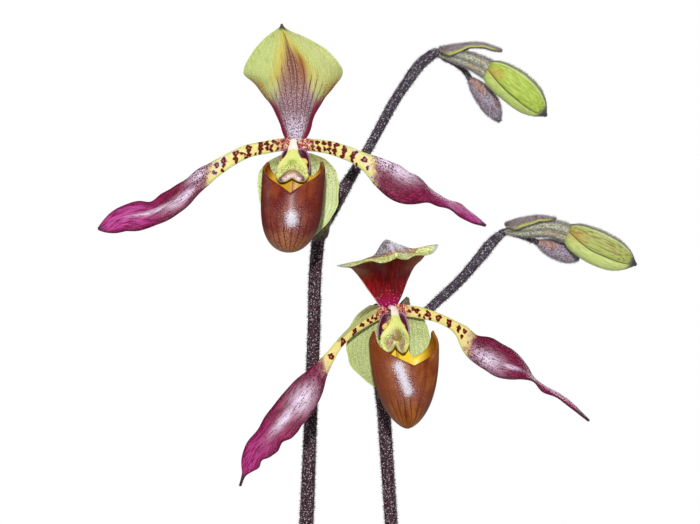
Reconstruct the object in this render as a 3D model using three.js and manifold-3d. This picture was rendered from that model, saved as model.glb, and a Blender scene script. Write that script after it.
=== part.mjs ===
// Potted Paphiopedilum lowii: two growths with strap leaves in one clay pot, each with a hairy
// scape that carries one open slipper flower, one side bud and a small bract at its tip.
// Millimetres, +Z up. The origin is the centre of the pot's underside, and the flowers face -Y.
import * as THREE from 'three';
import { mergeVertices } from 'three/addons/utils/BufferGeometryUtils.js';
import Module from 'manifold-3d';

const wasm = await Module();
wasm.setup();

const SEAT_GAP = 0.3;
const DEGREE = Math.PI / 180;
const UP = new THREE.Vector3(0, 0, 1);
const DOWN = new THREE.Vector3(0, 0, -1);

// Pot and bark
const POT = {
  height: 134, rimRadius: 78, rimHeight: 30, shoulderRadius: 72.5, footRadius: 53,
  wall: 6.5, floor: 9, edge: 1.8, sides: 40, holeRadius: 6, holeRing: 29, holes: 5, holeSides: 10,
};
const BARK = {
  level: 113, inset: 0.5, chips: 34, chipLength: 23, chipWidth: 14, chipHeight: 7, tilt: 0.65,
  edgeMargin: 14, lowest: 0.8, unevenness: 1.6, seed: 7,
};

// Growths: where each one stands, and which way its front row of leaves grows
const CROWN = { top: 112.7, radius: 11.6, depth: 10, sides: 16, rhizomeRadius: 5, rhizomeSag: 4 };
const GROWTHS = {
  a: { x: -28, y: 8, turn: 230 },
  b: { x: 34, y: 4, turn: 230 },
};
const ROOT = {
  radius: 2.2, taper: 0.25, sides: 5, steps: 5, perGrowth: 3, fan: 3.6, spread: 12, kneeDrop: 34,
  lowHeight: 40, endHeight: 22, seed: 23,
};

// Leaves of one growth: side, nesting ring counted from the scape, length, width, length of the
// upright base, how far the blade leans from upright at its start and at its tip, and how many
// degrees it swings sideways on its way
const LEAF = { thickness: 1.3, firstRing: 5.2, ringStep: 2.5, wrap: 84, rows: 13, columns: 4 };
const LEAVES = {
  a: [
    { side: 'front', ring: 0, length: 300, width: 40, sheath: 46, lean: 10, droop: 92, bend: -8 },
    { side: 'back', ring: 0, length: 318, width: 42, sheath: 40, lean: 12, droop: 104, bend: 14 },
    { side: 'front', ring: 1, length: 330, width: 45, sheath: 30, lean: 24, droop: 112, bend: -24 },
    { side: 'back', ring: 1, length: 300, width: 44, sheath: 25, lean: 30, droop: 118, bend: 30 },
    { side: 'front', ring: 2, length: 236, width: 42, sheath: 15, lean: 46, droop: 120, bend: -2 },
  ],
  b: [
    { side: 'back', ring: 0, length: 290, width: 40, sheath: 46, lean: 10, droop: 90, bend: -10 },
    { side: 'front', ring: 0, length: 322, width: 43, sheath: 40, lean: 12, droop: 108, bend: 14 },
    { side: 'back', ring: 1, length: 326, width: 45, sheath: 30, lean: 24, droop: 110, bend: -26 },
    { side: 'front', ring: 1, length: 292, width: 44, sheath: 25, lean: 31, droop: 116, bend: 28 },
    { side: 'back', ring: 2, length: 240, width: 42, sheath: 15, lean: 46, droop: 121, bend: -2 },
  ],
};

// Scapes: hand-chosen points of the stem's centre line, from the crown to the stalk of the tip
const SCAPE = { sides: 8, steps: 30, crowding: 1.6 };
const SCAPES = {
  a: {
    route: [
      [-28, 8, 113], [-27.6, 8.8, 165], [-22.6, 17, 260], [-15.2, 28, 389], [-12.7, 28.5, 454],
      [-11.6, 28.5, 483], [-10.6, 28.5, 490.5], [-7.2, 28.5, 496.9], [6.8, 26, 520.3],
      [18.9, 24, 541.2], [26.8, 22.6, 550.8], [30.4, 22.4, 552.8], [33.2, 22.8, 551],
      [36.4, 23.2, 549.2], [39.5, 23.6, 547], [41.4, 23.6, 544],
    ],
    radius: [[0, 2.6], [0.2, 2.5], [0.6, 2.4], [0.81, 2.35], [0.83, 2.5], [0.85, 1.9], [0.92, 1.7],
      [0.96, 1.8], [0.975, 1.15], [1, 1]],
  },
  b: {
    route: [
      [34, 4, 113], [33.4, 5, 165], [25.5, 15, 260], [14.4, 28, 389], [11.8, 30, 428],
      [10.9, 30, 441], [11.9, 30, 447.5], [17.5, 30, 453.6], [30.2, 29, 465.8],
      [39.8, 28, 475], [46, 27, 482.4], [51, 26.2, 488.2], [54.4, 26, 490.6], [58, 26.4, 489.6],
      [65, 25, 487],
    ],
    radius: [[0, 2.6], [0.2, 2.5], [0.6, 2.4], [0.78, 2.35], [0.8, 2.5], [0.83, 1.85],
      [0.92, 1.7], [0.955, 1.8], [0.97, 1.15], [1, 1]],
  },
};

// Flowers: routes and places are measured from the flower's centre, where its parts meet
const FLESH = 0.8;
const POUCH = { around: 22, levels: 8, rimCrowding: 1.8, pinch: 0.1, pinchFrom: 0.86 };
const SHIELD = { stalkRadius: 1.8, rows: 8, columns: 8, curl: -34, thickness: 1.3 };
const FLOWERS = {
  a: {
    centre: [-19, 0, 519],
    turn: -3,
    ovary: {
      route: [[8.5, 24.6, -27.6], [7, 23.8, -17], [3.4, 19, -5.5], [0.6, 10.5, -0.5], [0, 4, 0]],
      radius: [[0, 1.5], [0.35, 2], [0.75, 2.35], [1, 2.4]],
    },
    bract: {
      route: [[8, 25.4, -31.5], [7.2, 21, -28.5], [5, 16.6, -20.5], [2.6, 13.6, -12]],
      halfWidth: [[0, 4.2], [0.35, 8.6], [0.7, 10.8], [0.9, 9.6], [1, 8]],
      curl: [[0, 70], [0.35, 92], [0.7, 92], [1, 70]],
      arms: 5,
    },
    dorsal: {
      route: [[0.5, 3.4, 2.9], [0.4, 1.4, 9], [0.2, -0.6, 16], [-0.2, -2.5, 25.5], [-1.2, -4.8, 33.4],
        [-4.1, -8, 40.8]],
      halfWidth: [[0, 3.6], [0.16, 6.8], [0.34, 10.9], [0.46, 14.1], [0.59, 16.9], [0.7, 15.6],
        [0.79, 12.4], [0.88, 7.6], [0.95, 3.6], [1, 0.6]],
      shear: 0.5,
      curl: [[0, -15], [0.16, -58], [0.34, -52], [0.46, -34], [0.59, -12], [0.8, 12], [1, 20]],
      roll: [[0, 0], [1, 0]],
    },
    synsepal: {
      route: [[0.5, 3.1, -2.2], [0.8, 4.2, -6], [1.3, 5.6, -11], [2, 6.5, -17], [2.3, 6.3, -25],
        [2, 5, -32]],
      halfWidth: [[0, 5.5], [0.05, 9.2], [0.13, 12.2], [0.3, 14.3], [0.45, 14.4], [0.6, 13.4],
        [0.73, 11.3], [0.83, 8.8], [0.91, 6], [1, 1.4]],
      curl: [[0, 10], [0.3, 26], [1, 30]],
    },
    petalLeft: {
      route: [[-2.5, 2.2, 1.3], [-8.8, 1.2, 0.2], [-15, 0.5, -1.1], [-24.1, 0.5, -5.5],
        [-32.1, 1.5, -11.2], [-40.7, 3, -18.2], [-49.3, 5, -22.4], [-58, 6.5, -23.9],
        [-67.3, 8, -27.8]],
      halfWidth: [[0, 2.2], [0.18, 2.2], [0.32, 2.5], [0.455, 3.9], [0.61, 5.6], [0.74, 6],
        [0.86, 5.6], [0.94, 3.5], [1, 0.5]],
      roll: [[0, 0], [0.3, 2], [0.5, 18], [0.7, 31], [1, 36]],
    },
    petalRight: {
      route: [[2.5, 2.2, 1.2], [13.3, 0, -0.4], [24.1, -1.8, -4.9], [36.7, -2.6, -12.9],
        [46.8, -2, -16.2], [57.1, -0.5, -21.6], [65.2, 0.5, -26.7]],
      halfWidth: [[0, 2.1], [0.16, 2.3], [0.33, 2.9], [0.45, 5.1], [0.55, 5.8], [0.65, 5.8],
        [0.75, 5.3], [0.86, 4.6], [0.94, 3.1], [1, 0.5]],
      roll: [[0, 0], [0.3, 2], [0.5, 22], [0.58, 32], [0.64, 48], [0.7, 64], [0.76, 72],
        [0.86, 66], [1, 62]],
    },
    pouch: {
      halfWidth: 10.65, halfDepth: 10.4, bottom: -35.9, ear: -5.2, fullness: 3.2, roundness: 2,
      shift: 0.8, sway: -1.6, lean: -1.6,
      rim: [[0, -16], [20, -13.6], [45, -10.4], [68, -8], [86, -5.2], [106, -6.6], [124, -9.4],
        [138, -11], [150, -8], [165, -3.5], [180, -2.1]],
    },
    staminode: { length: 12, halfWidth: 5.6, lobe: 2 },
  },
  b: {
    centre: [13.9, 0, 464],
    turn: 17,
    ovary: {
      route: [[-2, 26.4, -15.6], [-2, 24.4, -8], [-1.2, 18, -1.4], [-0.2, 10, 0], [0, 4, 0]],
      radius: [[0, 1.5], [0.3, 2], [0.75, 2.35], [1, 2.4]],
    },
    bract: {
      route: [[-2.8, 27, -22.4], [-2.7, 21.4, -19.6], [-2.1, 16.6, -13.6], [-0.8, 14.6, -6.6]],
      halfWidth: [[0, 5.5], [0.35, 11], [0.7, 12.6], [0.9, 11.4], [1, 9.6]],
      curl: [[0, 66], [0.35, 92], [0.7, 98], [1, 88]],
      arms: 8.6,
      shear: 0.2,
    },
    dorsal: {
      route: [[-0.9, 3.3, 2.3], [-0.9, 0, 7.5], [-1.1, -6.5, 14], [-1.8, -13.5, 20.2],
        [-1.8, -20, 22.8], [-0.2, -26, 21], [1.4, -30.5, 16.8]],
      halfWidth: [[0, 3.5], [0.13, 6.6], [0.34, 11.2], [0.46, 14], [0.57, 16.4], [0.66, 16.8],
        [0.76, 14], [0.86, 9.6], [0.94, 5], [1, 0.6]],
      curl: [[0, -10], [0.13, -16], [0.34, -10], [0.6, 2], [0.8, 10], [1, 20]],
      roll: [[0, 0], [0.3, 3], [0.6, 8.5], [1, 8]],
      gable: [[0, 0], [0.3, 0], [0.55, 4.4], [0.7, 5], [0.85, 3.4], [1, 0]],
    },
    synsepal: {
      route: [[-0.3, 3.6, -3], [-0.8, 5.4, -8], [-1.4, 6.8, -14], [-1.4, 6.6, -21],
        [-0.6, 5.5, -28.5]],
      halfWidth: [[0, 3.5], [0.06, 7], [0.15, 11.8], [0.3, 15], [0.45, 15.8], [0.6, 14.6],
        [0.72, 12.2], [0.82, 9.4], [0.91, 6.2], [1, 1.4]],
      curl: [[0, -6], [0.16, 2], [0.34, 18], [1, 26]],
    },
    petalLeft: {
      route: [[-2.5, 2, -0.8], [-8.5, -1.7, -4], [-15.8, -5.4, -9.8], [-22.4, -8, -18.5],
        [-29.8, -10.5, -29.2], [-40.4, -13, -42], [-46.2, -13.5, -48.6], [-49.6, -13, -55.6],
        [-50.8, -12, -59.2]],
      halfWidth: [[0, 2.1], [0.1, 2], [0.34, 1.9], [0.44, 3.7], [0.53, 5.7], [0.62, 6.1],
        [0.74, 5.3], [0.85, 4.2], [0.92, 2.4], [1, 0.4]],
      roll: [[0, 0], [0.3, 2], [0.5, 14], [0.8, 20], [1, 26]],
    },
    petalRight: {
      route: [[2.5, 2.6, -0.4], [9.9, 4.2, -1.3], [17.9, 6.5, -3.8], [24.4, 9, -7.9],
        [27.8, 10.5, -11.9], [37, 13.5, -17], [44.9, 15.5, -20.2], [51.9, 17, -26.2],
        [60.8, 18, -31.8], [68.9, 18.5, -39]],
      halfWidth: [[0, 2.1], [0.1, 2], [0.29, 2.1], [0.37, 4], [0.45, 5.3], [0.55, 5.8],
        [0.65, 5.3], [0.75, 4.6], [0.87, 3.4], [0.95, 2], [1, 0.4]],
      roll: [[0, 0], [0.3, 2], [0.45, 20], [0.55, 38], [0.6, 52], [0.65, 69], [0.7, 80],
        [0.76, 77], [0.87, 74], [1, 70]],
    },
    pouch: {
      halfWidth: 12, halfDepth: 11, bottom: -40.8, ear: -8, fullness: 1.9, roundness: 1.6,
      shift: 1.2, sway: 0.2, lean: -1.2,
      rim: [[0, -20], [20, -17.4], [45, -13.6], [68, -10.4], [86, -7.4], [104, -9.4],
        [122, -13.4], [136, -15.8], [150, -11.5], [165, -4.2], [180, -2]],
    },
    staminode: { length: 13.4, halfWidth: 5.4, lobe: 3.6 },
  },
};

// Bud groups at the tips of the scapes, in the part's own frame
const BUDS = {
  a: {
    ovary: {
      route: [[33.2, 19.5, 551.7], [38, 17.6, 550.8], [42.6, 16.6, 549.2], [46.2, 16.2, 547.4]],
      radius: [[0, 1.4], [0.4, 2.3], [0.8, 2.7], [1, 2.5]],
    },
    bract: {
      route: [[31, 19.2, 554.2], [37, 17.7, 555], [45.4, 16.6, 555.4], [52.6, 16.2, 553]],
      halfWidth: [[0, 3.6], [0.3, 5.4], [0.65, 5], [0.88, 3.4], [1, 0.9]],
      curl: [[0, 78], [0.3, 70], [0.65, 52], [1, 40]],
    },
    bud: {
      route: [[47.2, 16, 547], [57.6, 15.8, 540], [68, 16.6, 530.4]],
      radius: [[0, 2.9], [0.08, 4.4], [0.25, 5.8], [0.5, 6.3], [0.75, 5.4], [0.9, 3.2], [1, 0.8]],
    },
    tipBract: {
      route: [[41.8, 23.7, 543.5], [47.3, 23.8, 537.2], [52.2, 22.8, 528.8]],
      radius: [[0, 1.1], [0.2, 2.5], [0.5, 3.3], [0.8, 2.5], [1, 0.5]],
    },
  },
  b: {
    ovary: {
      route: [[56.2, 23, 490.6], [62.6, 21.5, 491], [69, 20.7, 491.6], [74.2, 20.4, 490.8]],
      radius: [[0, 1.4], [0.4, 2.3], [0.8, 2.7], [1, 2.5]],
    },
    bract: {
      route: [[53.8, 22.2, 493.2], [59.4, 21.3, 494.9], [66, 20.6, 495.7], [71.6, 20.2, 495]],
      halfWidth: [[0, 3.6], [0.3, 5.4], [0.65, 5], [0.88, 3.2], [1, 0.9]],
      curl: [[0, 78], [0.3, 70], [0.65, 52], [1, 40]],
    },
    bud: {
      route: [[75.2, 20.3, 490.3], [87.2, 19.4, 484.4], [99.4, 19.6, 479]],
      radius: [[0, 2.9], [0.08, 4.5], [0.25, 5.9], [0.5, 6.4], [0.75, 5.4], [0.9, 3.2], [1, 0.8]],
    },
    tipBract: {
      route: [[65.6, 25.2, 486.7], [72.6, 26.8, 484.2], [80.2, 27.4, 481.6]],
      radius: [[0, 1.1], [0.2, 2.5], [0.5, 3.3], [0.85, 2.6], [1, 1.2]],
    },
  },
};

const plant = new THREE.Group();

function addMesh(name, geometry, look) {
  const mesh = new THREE.Mesh(geometry, new THREE.MeshStandardMaterial(look));
  mesh.name = name;
  plant.add(mesh);
}

function randomSource(seed) {
  let state = seed;
  return () => {
    state = (state * 1664525 + 1013904223) % 4294967296;
    return state / 4294967296;
  };
}

// A smooth curve through [place, value] pairs: cubic pieces with slopes from the neighbours
function profile(pairs) {
  const slopeBetween = (i) => (pairs[i + 1][1] - pairs[i][1]) / (pairs[i + 1][0] - pairs[i][0]);
  const last = pairs.length - 1;
  const slopes = pairs.map((_, i) => {
    if (i === 0) return slopeBetween(0);
    if (i === last) return slopeBetween(last - 1);
    const before = pairs[i][0] - pairs[i - 1][0];
    const after = pairs[i + 1][0] - pairs[i][0];
    return (slopeBetween(i) * before + slopeBetween(i - 1) * after) / (before + after);
  });
  return (place) => {
    let i = 0;
    while (i < last - 1 && place > pairs[i + 1][0]) i += 1;
    const width = pairs[i + 1][0] - pairs[i][0];
    const u = THREE.MathUtils.clamp((place - pairs[i][0]) / width, 0, 1);
    const u2 = u * u;
    const u3 = u2 * u;
    return (2 * u3 - 3 * u2 + 1) * pairs[i][1] + (u3 - 2 * u2 + u) * width * slopes[i]
      + (3 * u2 - 2 * u3) * pairs[i + 1][1] + (u3 - u2) * width * slopes[i + 1];
  };
}

// A smooth route through points, by the share of its length from 0 to 1
function routeThrough(points, origin = [0, 0, 0]) {
  const placed = points.map((p) => new THREE.Vector3(...p).add(new THREE.Vector3(...origin)));
  const reach = [0];
  for (let i = 1; i < placed.length; i += 1) {
    reach.push(reach[i - 1] + placed[i].distanceTo(placed[i - 1]));
  }
  const total = reach[reach.length - 1];
  const alongAxis = (axis) => profile(placed.map((p, i) => [reach[i] / total, p[axis]]));
  const axes = ['x', 'y', 'z'].map(alongAxis);
  return (t) => new THREE.Vector3(...axes.map((value) => value(t)));
}

// Stations along a route: where each row of a sheet lies, which way it heads, and its width's way.
// A crowding over 1 sets the rows closer together towards the end.
function stationsOn(route, rows, side, rollOf, crowding = 1) {
  const nudge = 0.002;
  return Array.from({ length: rows + 1 }, (_, i) => {
    const t = 1 - (1 - i / rows) ** crowding;
    const heading = route(Math.min(1, t + nudge)).sub(route(Math.max(0, t - nudge))).normalize();
    const across = side.clone().addScaledVector(heading, -side.dot(heading)).normalize();
    across.applyAxisAngle(heading, rollOf(t) * DEGREE);
    return { t, point: route(t), heading, across };
  });
}

function closedGeometry(vertices, faces) {
  const geometry = new THREE.BufferGeometry();
  const numbers = vertices.flatMap((v) => v.toArray());
  geometry.setAttribute('position', new THREE.Float32BufferAttribute(numbers, 3));
  geometry.setIndex(faces.flat());
  geometry.computeVertexNormals();
  return geometry;
}

// A thin curved sheet: an arc across every station, thickened to both sides. A gable raises the
// middle of a row over its wings, and a lobe draws parts of a row onward along the route.
function sheet({ stations, columns, halfWidth, curl, thickness, gable = () => 0, lobe = () => 0 }) {
  const rows = stations.length - 1;
  const vertices = [];
  for (const face of [1, -1]) {
    for (const { t, point, heading, across } of stations) {
      const inward = across.clone().cross(heading);
      const half = halfWidth(t);
      const turn = curl(t) * DEGREE;
      const arcRadius = Math.abs(turn) < 1e-3 ? Infinity : half / turn;
      for (let j = 0; j <= columns; j += 1) {
        const s = (2 * j) / columns - 1;
        const sideways = arcRadius === Infinity ? s * half : arcRadius * Math.sin(s * turn);
        const arcLift = arcRadius === Infinity ? 0 : arcRadius * (1 - Math.cos(s * turn));
        const lifted = arcLift + gable(t) * THREE.MathUtils.smoothstep(Math.abs(s), 0, 0.55);
        const normal = inward.clone().multiplyScalar(Math.cos(s * turn))
          .addScaledVector(across, -Math.sin(s * turn));
        vertices.push(point.clone().addScaledVector(across, sideways).addScaledVector(inward, lifted)
          .addScaledVector(heading, lobe(t, s)).addScaledVector(normal, face * thickness / 2));
      }
    }
  }
  const front = (i, j) => i * (columns + 1) + j;
  const back = (i, j) => (rows + 1) * (columns + 1) + front(i, j);
  const faces = [];
  const wall = (a, b, c, d) => faces.push([a, b, c], [a, c, d]);
  for (let i = 0; i < rows; i += 1) {
    for (let j = 0; j < columns; j += 1) {
      wall(front(i, j), front(i, j + 1), front(i + 1, j + 1), front(i + 1, j));
      faces.push([back(i, j), back(i + 1, j + 1), back(i, j + 1)]);
      faces.push([back(i, j), back(i + 1, j), back(i + 1, j + 1)]);
    }
    wall(front(i, 0), front(i + 1, 0), back(i + 1, 0), back(i, 0));
    wall(front(i + 1, columns), front(i, columns), back(i, columns), back(i + 1, columns));
  }
  for (let j = 0; j < columns; j += 1) {
    wall(front(0, j + 1), front(0, j), back(0, j), back(0, j + 1));
    wall(front(rows, j), front(rows, j + 1), back(rows, j + 1), back(rows, j));
  }
  return closedGeometry(vertices, faces);
}

// A closed stem or bud: rings of a given radius along a route, with flat ends
function stem({ route, radius, steps, sides, ribs = () => 1, crowding = 1 }) {
  const stations = stationsOn(route, steps, new THREE.Vector3(0.3, 1, 0.1), () => 0, crowding);
  const vertices = [];
  for (const { t, point, heading, across } of stations) {
    const upward = heading.clone().cross(across);
    for (let j = 0; j < sides; j += 1) {
      const angle = (2 * Math.PI * j) / sides;
      const reach = radius(t) * ribs(angle, t);
      vertices.push(point.clone().addScaledVector(across, reach * Math.cos(angle))
        .addScaledVector(upward, reach * Math.sin(angle)));
    }
  }
  const ring = (i, j) => i * sides + (j % sides);
  const faces = [];
  for (let i = 0; i < steps; i += 1) {
    for (let j = 0; j < sides; j += 1) {
      faces.push([ring(i, j), ring(i, j + 1), ring(i + 1, j + 1)]);
      faces.push([ring(i, j), ring(i + 1, j + 1), ring(i + 1, j)]);
    }
  }
  for (let j = 1; j < sides - 1; j += 1) {
    faces.push([ring(0, 0), ring(0, j + 1), ring(0, j)]);
    faces.push([ring(steps, 0), ring(steps, j), ring(steps, j + 1)]);
  }
  return closedGeometry(vertices, faces);
}

function toSolid(geometry) {
  const bare = geometry.clone();
  bare.deleteAttribute('normal');
  bare.deleteAttribute('uv');
  const merged = mergeVertices(bare, 1e-4);
  return new wasm.Manifold(new wasm.Mesh({
    numProp: 3,
    vertProperties: new Float32Array(merged.attributes.position.array),
    triVerts: new Uint32Array(merged.index.array),
  }));
}

// Joined repeats can seal small hollows between them: only the outer skin is kept
function outerSkin(solid) {
  const larger = (one, other) => (other.volume() > one.volume() ? other : one);
  return solid.decompose().reduce(larger);
}

function toGeometry(solid) {
  const mesh = solid.getMesh();
  const geometry = new THREE.BufferGeometry();
  geometry.setAttribute('position', new THREE.Float32BufferAttribute(mesh.vertProperties, 3));
  geometry.setIndex(Array.from(mesh.triVerts));
  geometry.computeVertexNormals();
  return geometry;
}

// A turned solid about a vertical axis, from [radius, height] pairs that start and end at radius 0
function turned(outline, sides) {
  const points = outline.map(([radius, height]) => new THREE.Vector2(radius, height));
  return new THREE.LatheGeometry(points, sides).rotateX(Math.PI / 2);
}

function potWallRadius(height) {
  const inner = POT.shoulderRadius - POT.wall;
  const low = POT.footRadius - POT.wall;
  return low + ((inner - low) * (height - POT.floor)) / (POT.height - POT.floor);
}

function addPot() {
  const { height, rimRadius, rimHeight, shoulderRadius, footRadius, floor, edge, sides } = POT;
  const rimFoot = height - rimHeight;
  const mouth = potWallRadius(height);
  const outline = [
    [0, 0], [footRadius - edge, 0], [footRadius, edge], [shoulderRadius, rimFoot - edge],
    [rimRadius - edge, rimFoot], [rimRadius, rimFoot + edge], [rimRadius, height - edge],
    [rimRadius - edge, height], [mouth + edge, height], [mouth, height - edge],
    [potWallRadius(floor), floor], [0, floor],
  ];
  let body = toSolid(turned(outline, sides));
  for (let i = 0; i < POT.holes; i += 1) {
    const angle = ((2 * i + 1) * Math.PI) / POT.holes;
    const hole = turned([
      [0, -floor], [POT.holeRadius, -floor], [POT.holeRadius, 2 * floor], [0, 2 * floor],
    ], POT.holeSides);
    hole.translate(POT.holeRing * Math.cos(angle), POT.holeRing * Math.sin(angle), 0);
    body = body.subtract(toSolid(hole));
  }
  addMesh('pot', toGeometry(body), { color: 0xb06a48, roughness: 0.9 });
}

// Crowns, the rhizome between them and the roots, grown by a margin where bark makes room for it
function rootstock(margin) {
  const { a, b } = GROWTHS;
  const { top, radius, depth, sides, rhizomeRadius, rhizomeSag } = CROWN;
  const bar = routeThrough([
    [a.x, a.y, top - depth], [(a.x + b.x) / 2, 2, top - depth - rhizomeSag], [b.x, b.y, top - depth],
  ]);
  let body = toSolid(stem({ route: bar, radius: () => rhizomeRadius + margin, steps: 4, sides: 8 }));
  const random = randomSource(ROOT.seed);
  const { perGrowth, fan, spread, kneeDrop, lowHeight, endHeight } = ROOT;
  for (const growth of [a, b]) {
    const lid = top + margin;
    const knob = turned([
      [0, top - 2 * depth - margin], [radius / 2 + margin, top - 2 * depth - margin],
      [radius + margin, top - depth], [radius + margin, lid], [0, lid],
    ], sides);
    knob.translate(growth.x, growth.y, 0);
    body = body.add(toSolid(knob));
    for (let i = 0; i < perGrowth; i += 1) {
      const outward = growth === a ? Math.PI : 0;
      const angle = outward + (i / (perGrowth - 1) - 0.5) * fan + 0.3 * random();
      const reach = spread * (1 + 0.7 * random());
      const rootPoint = (share, away, swing, height) => [
        growth.x * share + away * Math.cos(angle + swing),
        growth.y * share + away * Math.sin(angle + swing), height,
      ];
      const route = routeThrough([
        rootPoint(1, 3, 0, top - depth),
        rootPoint(1, 0.8 * reach, 0, top - kneeDrop),
        rootPoint(0.7, reach, 0.4, lowHeight * (1 + 0.3 * random())),
        rootPoint(0.4, reach, 0.9, endHeight * (1 + 0.3 * random())),
      ]);
      const tapered = (t) => (ROOT.radius + margin) * (1 - ROOT.taper * t);
      body = body.add(toSolid(stem({ route, radius: tapered, steps: ROOT.steps, sides: ROOT.sides })));
    }
  }
  return body;
}

function addBark() {
  const { level, inset, chips, chipLength, chipWidth, chipHeight, tilt, seed } = BARK;
  const bottom = POT.floor + SEAT_GAP;
  const brim = potWallRadius(level) - inset;
  let body = toSolid(turned([
    [0, bottom], [potWallRadius(bottom) - inset, bottom], [brim, level], [0, level],
  ], POT.sides));
  const random = randomSource(seed);
  const goldenTurn = Math.PI * (3 - Math.sqrt(5));
  for (let i = 0; i < chips; i += 1) {
    const size = 0.7 + 0.5 * random();
    const narrowing = 0.7 + 0.4 * random();
    const chip = new THREE.BoxGeometry(chipLength * size, chipWidth * size * narrowing, chipHeight);
    chip.rotateX((random() - 0.5) * tilt);
    chip.rotateY((random() - 0.5) * tilt);
    chip.rotateZ(random() * Math.PI);
    const ring = (brim - BARK.edgeMargin) * Math.sqrt((i + 0.5) / chips);
    const rise = BARK.lowest + BARK.unevenness * random();
    chip.translate(ring * Math.cos(i * goldenTurn), ring * Math.sin(i * goldenTurn), level + rise);
    body = body.add(toSolid(chip));
  }
  body = outerSkin(body);
  for (const growth of Object.values(GROWTHS)) {
    const wellRadius = CROWN.radius + SEAT_GAP;
    const aboveChips = level + 20;
    const well = turned([
      [0, CROWN.top - 1], [wellRadius, CROWN.top - 1], [wellRadius, aboveChips], [0, aboveChips],
    ], CROWN.sides);
    body = body.subtract(toSolid(well.translate(growth.x, growth.y, 0)));
  }
  const mix = body.subtract(rootstock(SEAT_GAP));
  addMesh('bark_mix', toGeometry(mix), { color: 0x5b4030, roughness: 0.95 });
  addMesh('rhizome_with_roots', toGeometry(rootstock(0)), { color: 0xb9a98a, roughness: 0.8 });
}

// A strap leaf: its base wraps half round the growth, then it leans out, opens and arches over
function leafGeometry(growth, leaf) {
  const turn = (growth.turn + (leaf.side === 'front' ? 0 : 180)) * DEGREE;
  const ringRadius = LEAF.firstRing + leaf.ring * LEAF.ringStep;
  const sheathShare = leaf.sheath / leaf.length;
  const leanOf = (t) => {
    if (t < sheathShare) return 0;
    const u = (t - sheathShare) / (1 - sheathShare);
    return (leaf.lean * Math.min(1, u * 9) + (leaf.droop - leaf.lean) * u ** 1.15) * DEGREE;
  };
  const headingAt = (t) => {
    const lean = leanOf(t);
    const around = turn + leaf.bend * DEGREE * t;
    return new THREE.Vector3(
      Math.sin(lean) * Math.cos(around), Math.sin(lean) * Math.sin(around), Math.cos(lean));
  };
  const finer = 12;
  const point = new THREE.Vector3(
    growth.x + ringRadius * Math.cos(turn), growth.y + ringRadius * Math.sin(turn), CROWN.top + SEAT_GAP);
  const stations = [];
  for (let i = 0; i <= LEAF.rows * finer; i += 1) {
    const t = i / (LEAF.rows * finer);
    const heading = headingAt(t);
    if (i % finer === 0) {
      const around = turn + leaf.bend * DEGREE * t;
      const across = new THREE.Vector3(Math.sin(around), -Math.cos(around), 0);
      stations.push({ t, point: point.clone(), heading, across });
    }
    point.addScaledVector(heading, leaf.length / (LEAF.rows * finer));
  }
  const wrapHalf = ringRadius * LEAF.wrap * DEGREE;
  const full = leaf.width / 2;
  const opened = sheathShare + 0.2;
  return sheet({
    stations,
    columns: LEAF.columns,
    thickness: LEAF.thickness,
    halfWidth: profile([
      [0, wrapHalf], [sheathShare, wrapHalf], [opened, full * 0.86], [0.6, full], [0.84, full * 0.86],
      [0.95, full * 0.5], [1, full * 0.16],
    ]),
    curl: profile([[0, LEAF.wrap], [sheathShare, LEAF.wrap], [opened, 34], [0.6, 20], [1, 16]]),
  });
}

function addLeaves() {
  for (const [key, leaves] of Object.entries(LEAVES)) {
    leaves.forEach((leaf, i) => {
      const geometry = leafGeometry(GROWTHS[key], leaf);
      addMesh(`${key}_leaf_${i + 1}`, geometry, { color: 0x4f7a35, roughness: 0.5 });
    });
  }
}

function addScapes() {
  for (const [key, scape] of Object.entries(SCAPES)) {
    const geometry = stem({
      route: routeThrough(scape.route), radius: profile(scape.radius), steps: SCAPE.steps,
      sides: SCAPE.sides, crowding: SCAPE.crowding,
    });
    addMesh(`${key}_scape`, geometry, { color: 0x4a3038, roughness: 0.8 });
  }
}

function addOvary(name, piece, centre) {
  const ribbed = (angle) => 1 + 0.06 * Math.cos(5 * angle);
  const geometry = stem({
    route: routeThrough(piece.route, centre), radius: profile(piece.radius), steps: 10, sides: 10,
    ribs: ribbed,
  });
  addMesh(name, geometry, { color: 0x75705a, roughness: 0.8 });
}

function addBlade(name, piece, centre, side, options) {
  const { rows, columns, color } = options;
  const curl = piece.curl ? profile(piece.curl) : () => options.curl;
  const roll = piece.roll ? profile(piece.roll) : () => 0;
  const rollSign = options.mirrored ? -1 : 1;
  const gable = piece.gable ? profile(piece.gable) : () => 0;
  const halfWidth = profile(piece.halfWidth);
  const arms = piece.arms ?? 0;
  const shear = piece.shear ?? 0;
  const geometry = sheet({
    stations: stationsOn(routeThrough(piece.route, centre), rows, side, (t) => rollSign * roll(t)),
    columns,
    halfWidth,
    curl,
    gable,
    lobe: (t, s) => arms * t ** 3 * s * s - shear * halfWidth(t) * t ** 4 * s,
    thickness: FLESH,
  });
  addMesh(name, geometry, { color, roughness: 0.6 });
}

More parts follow.
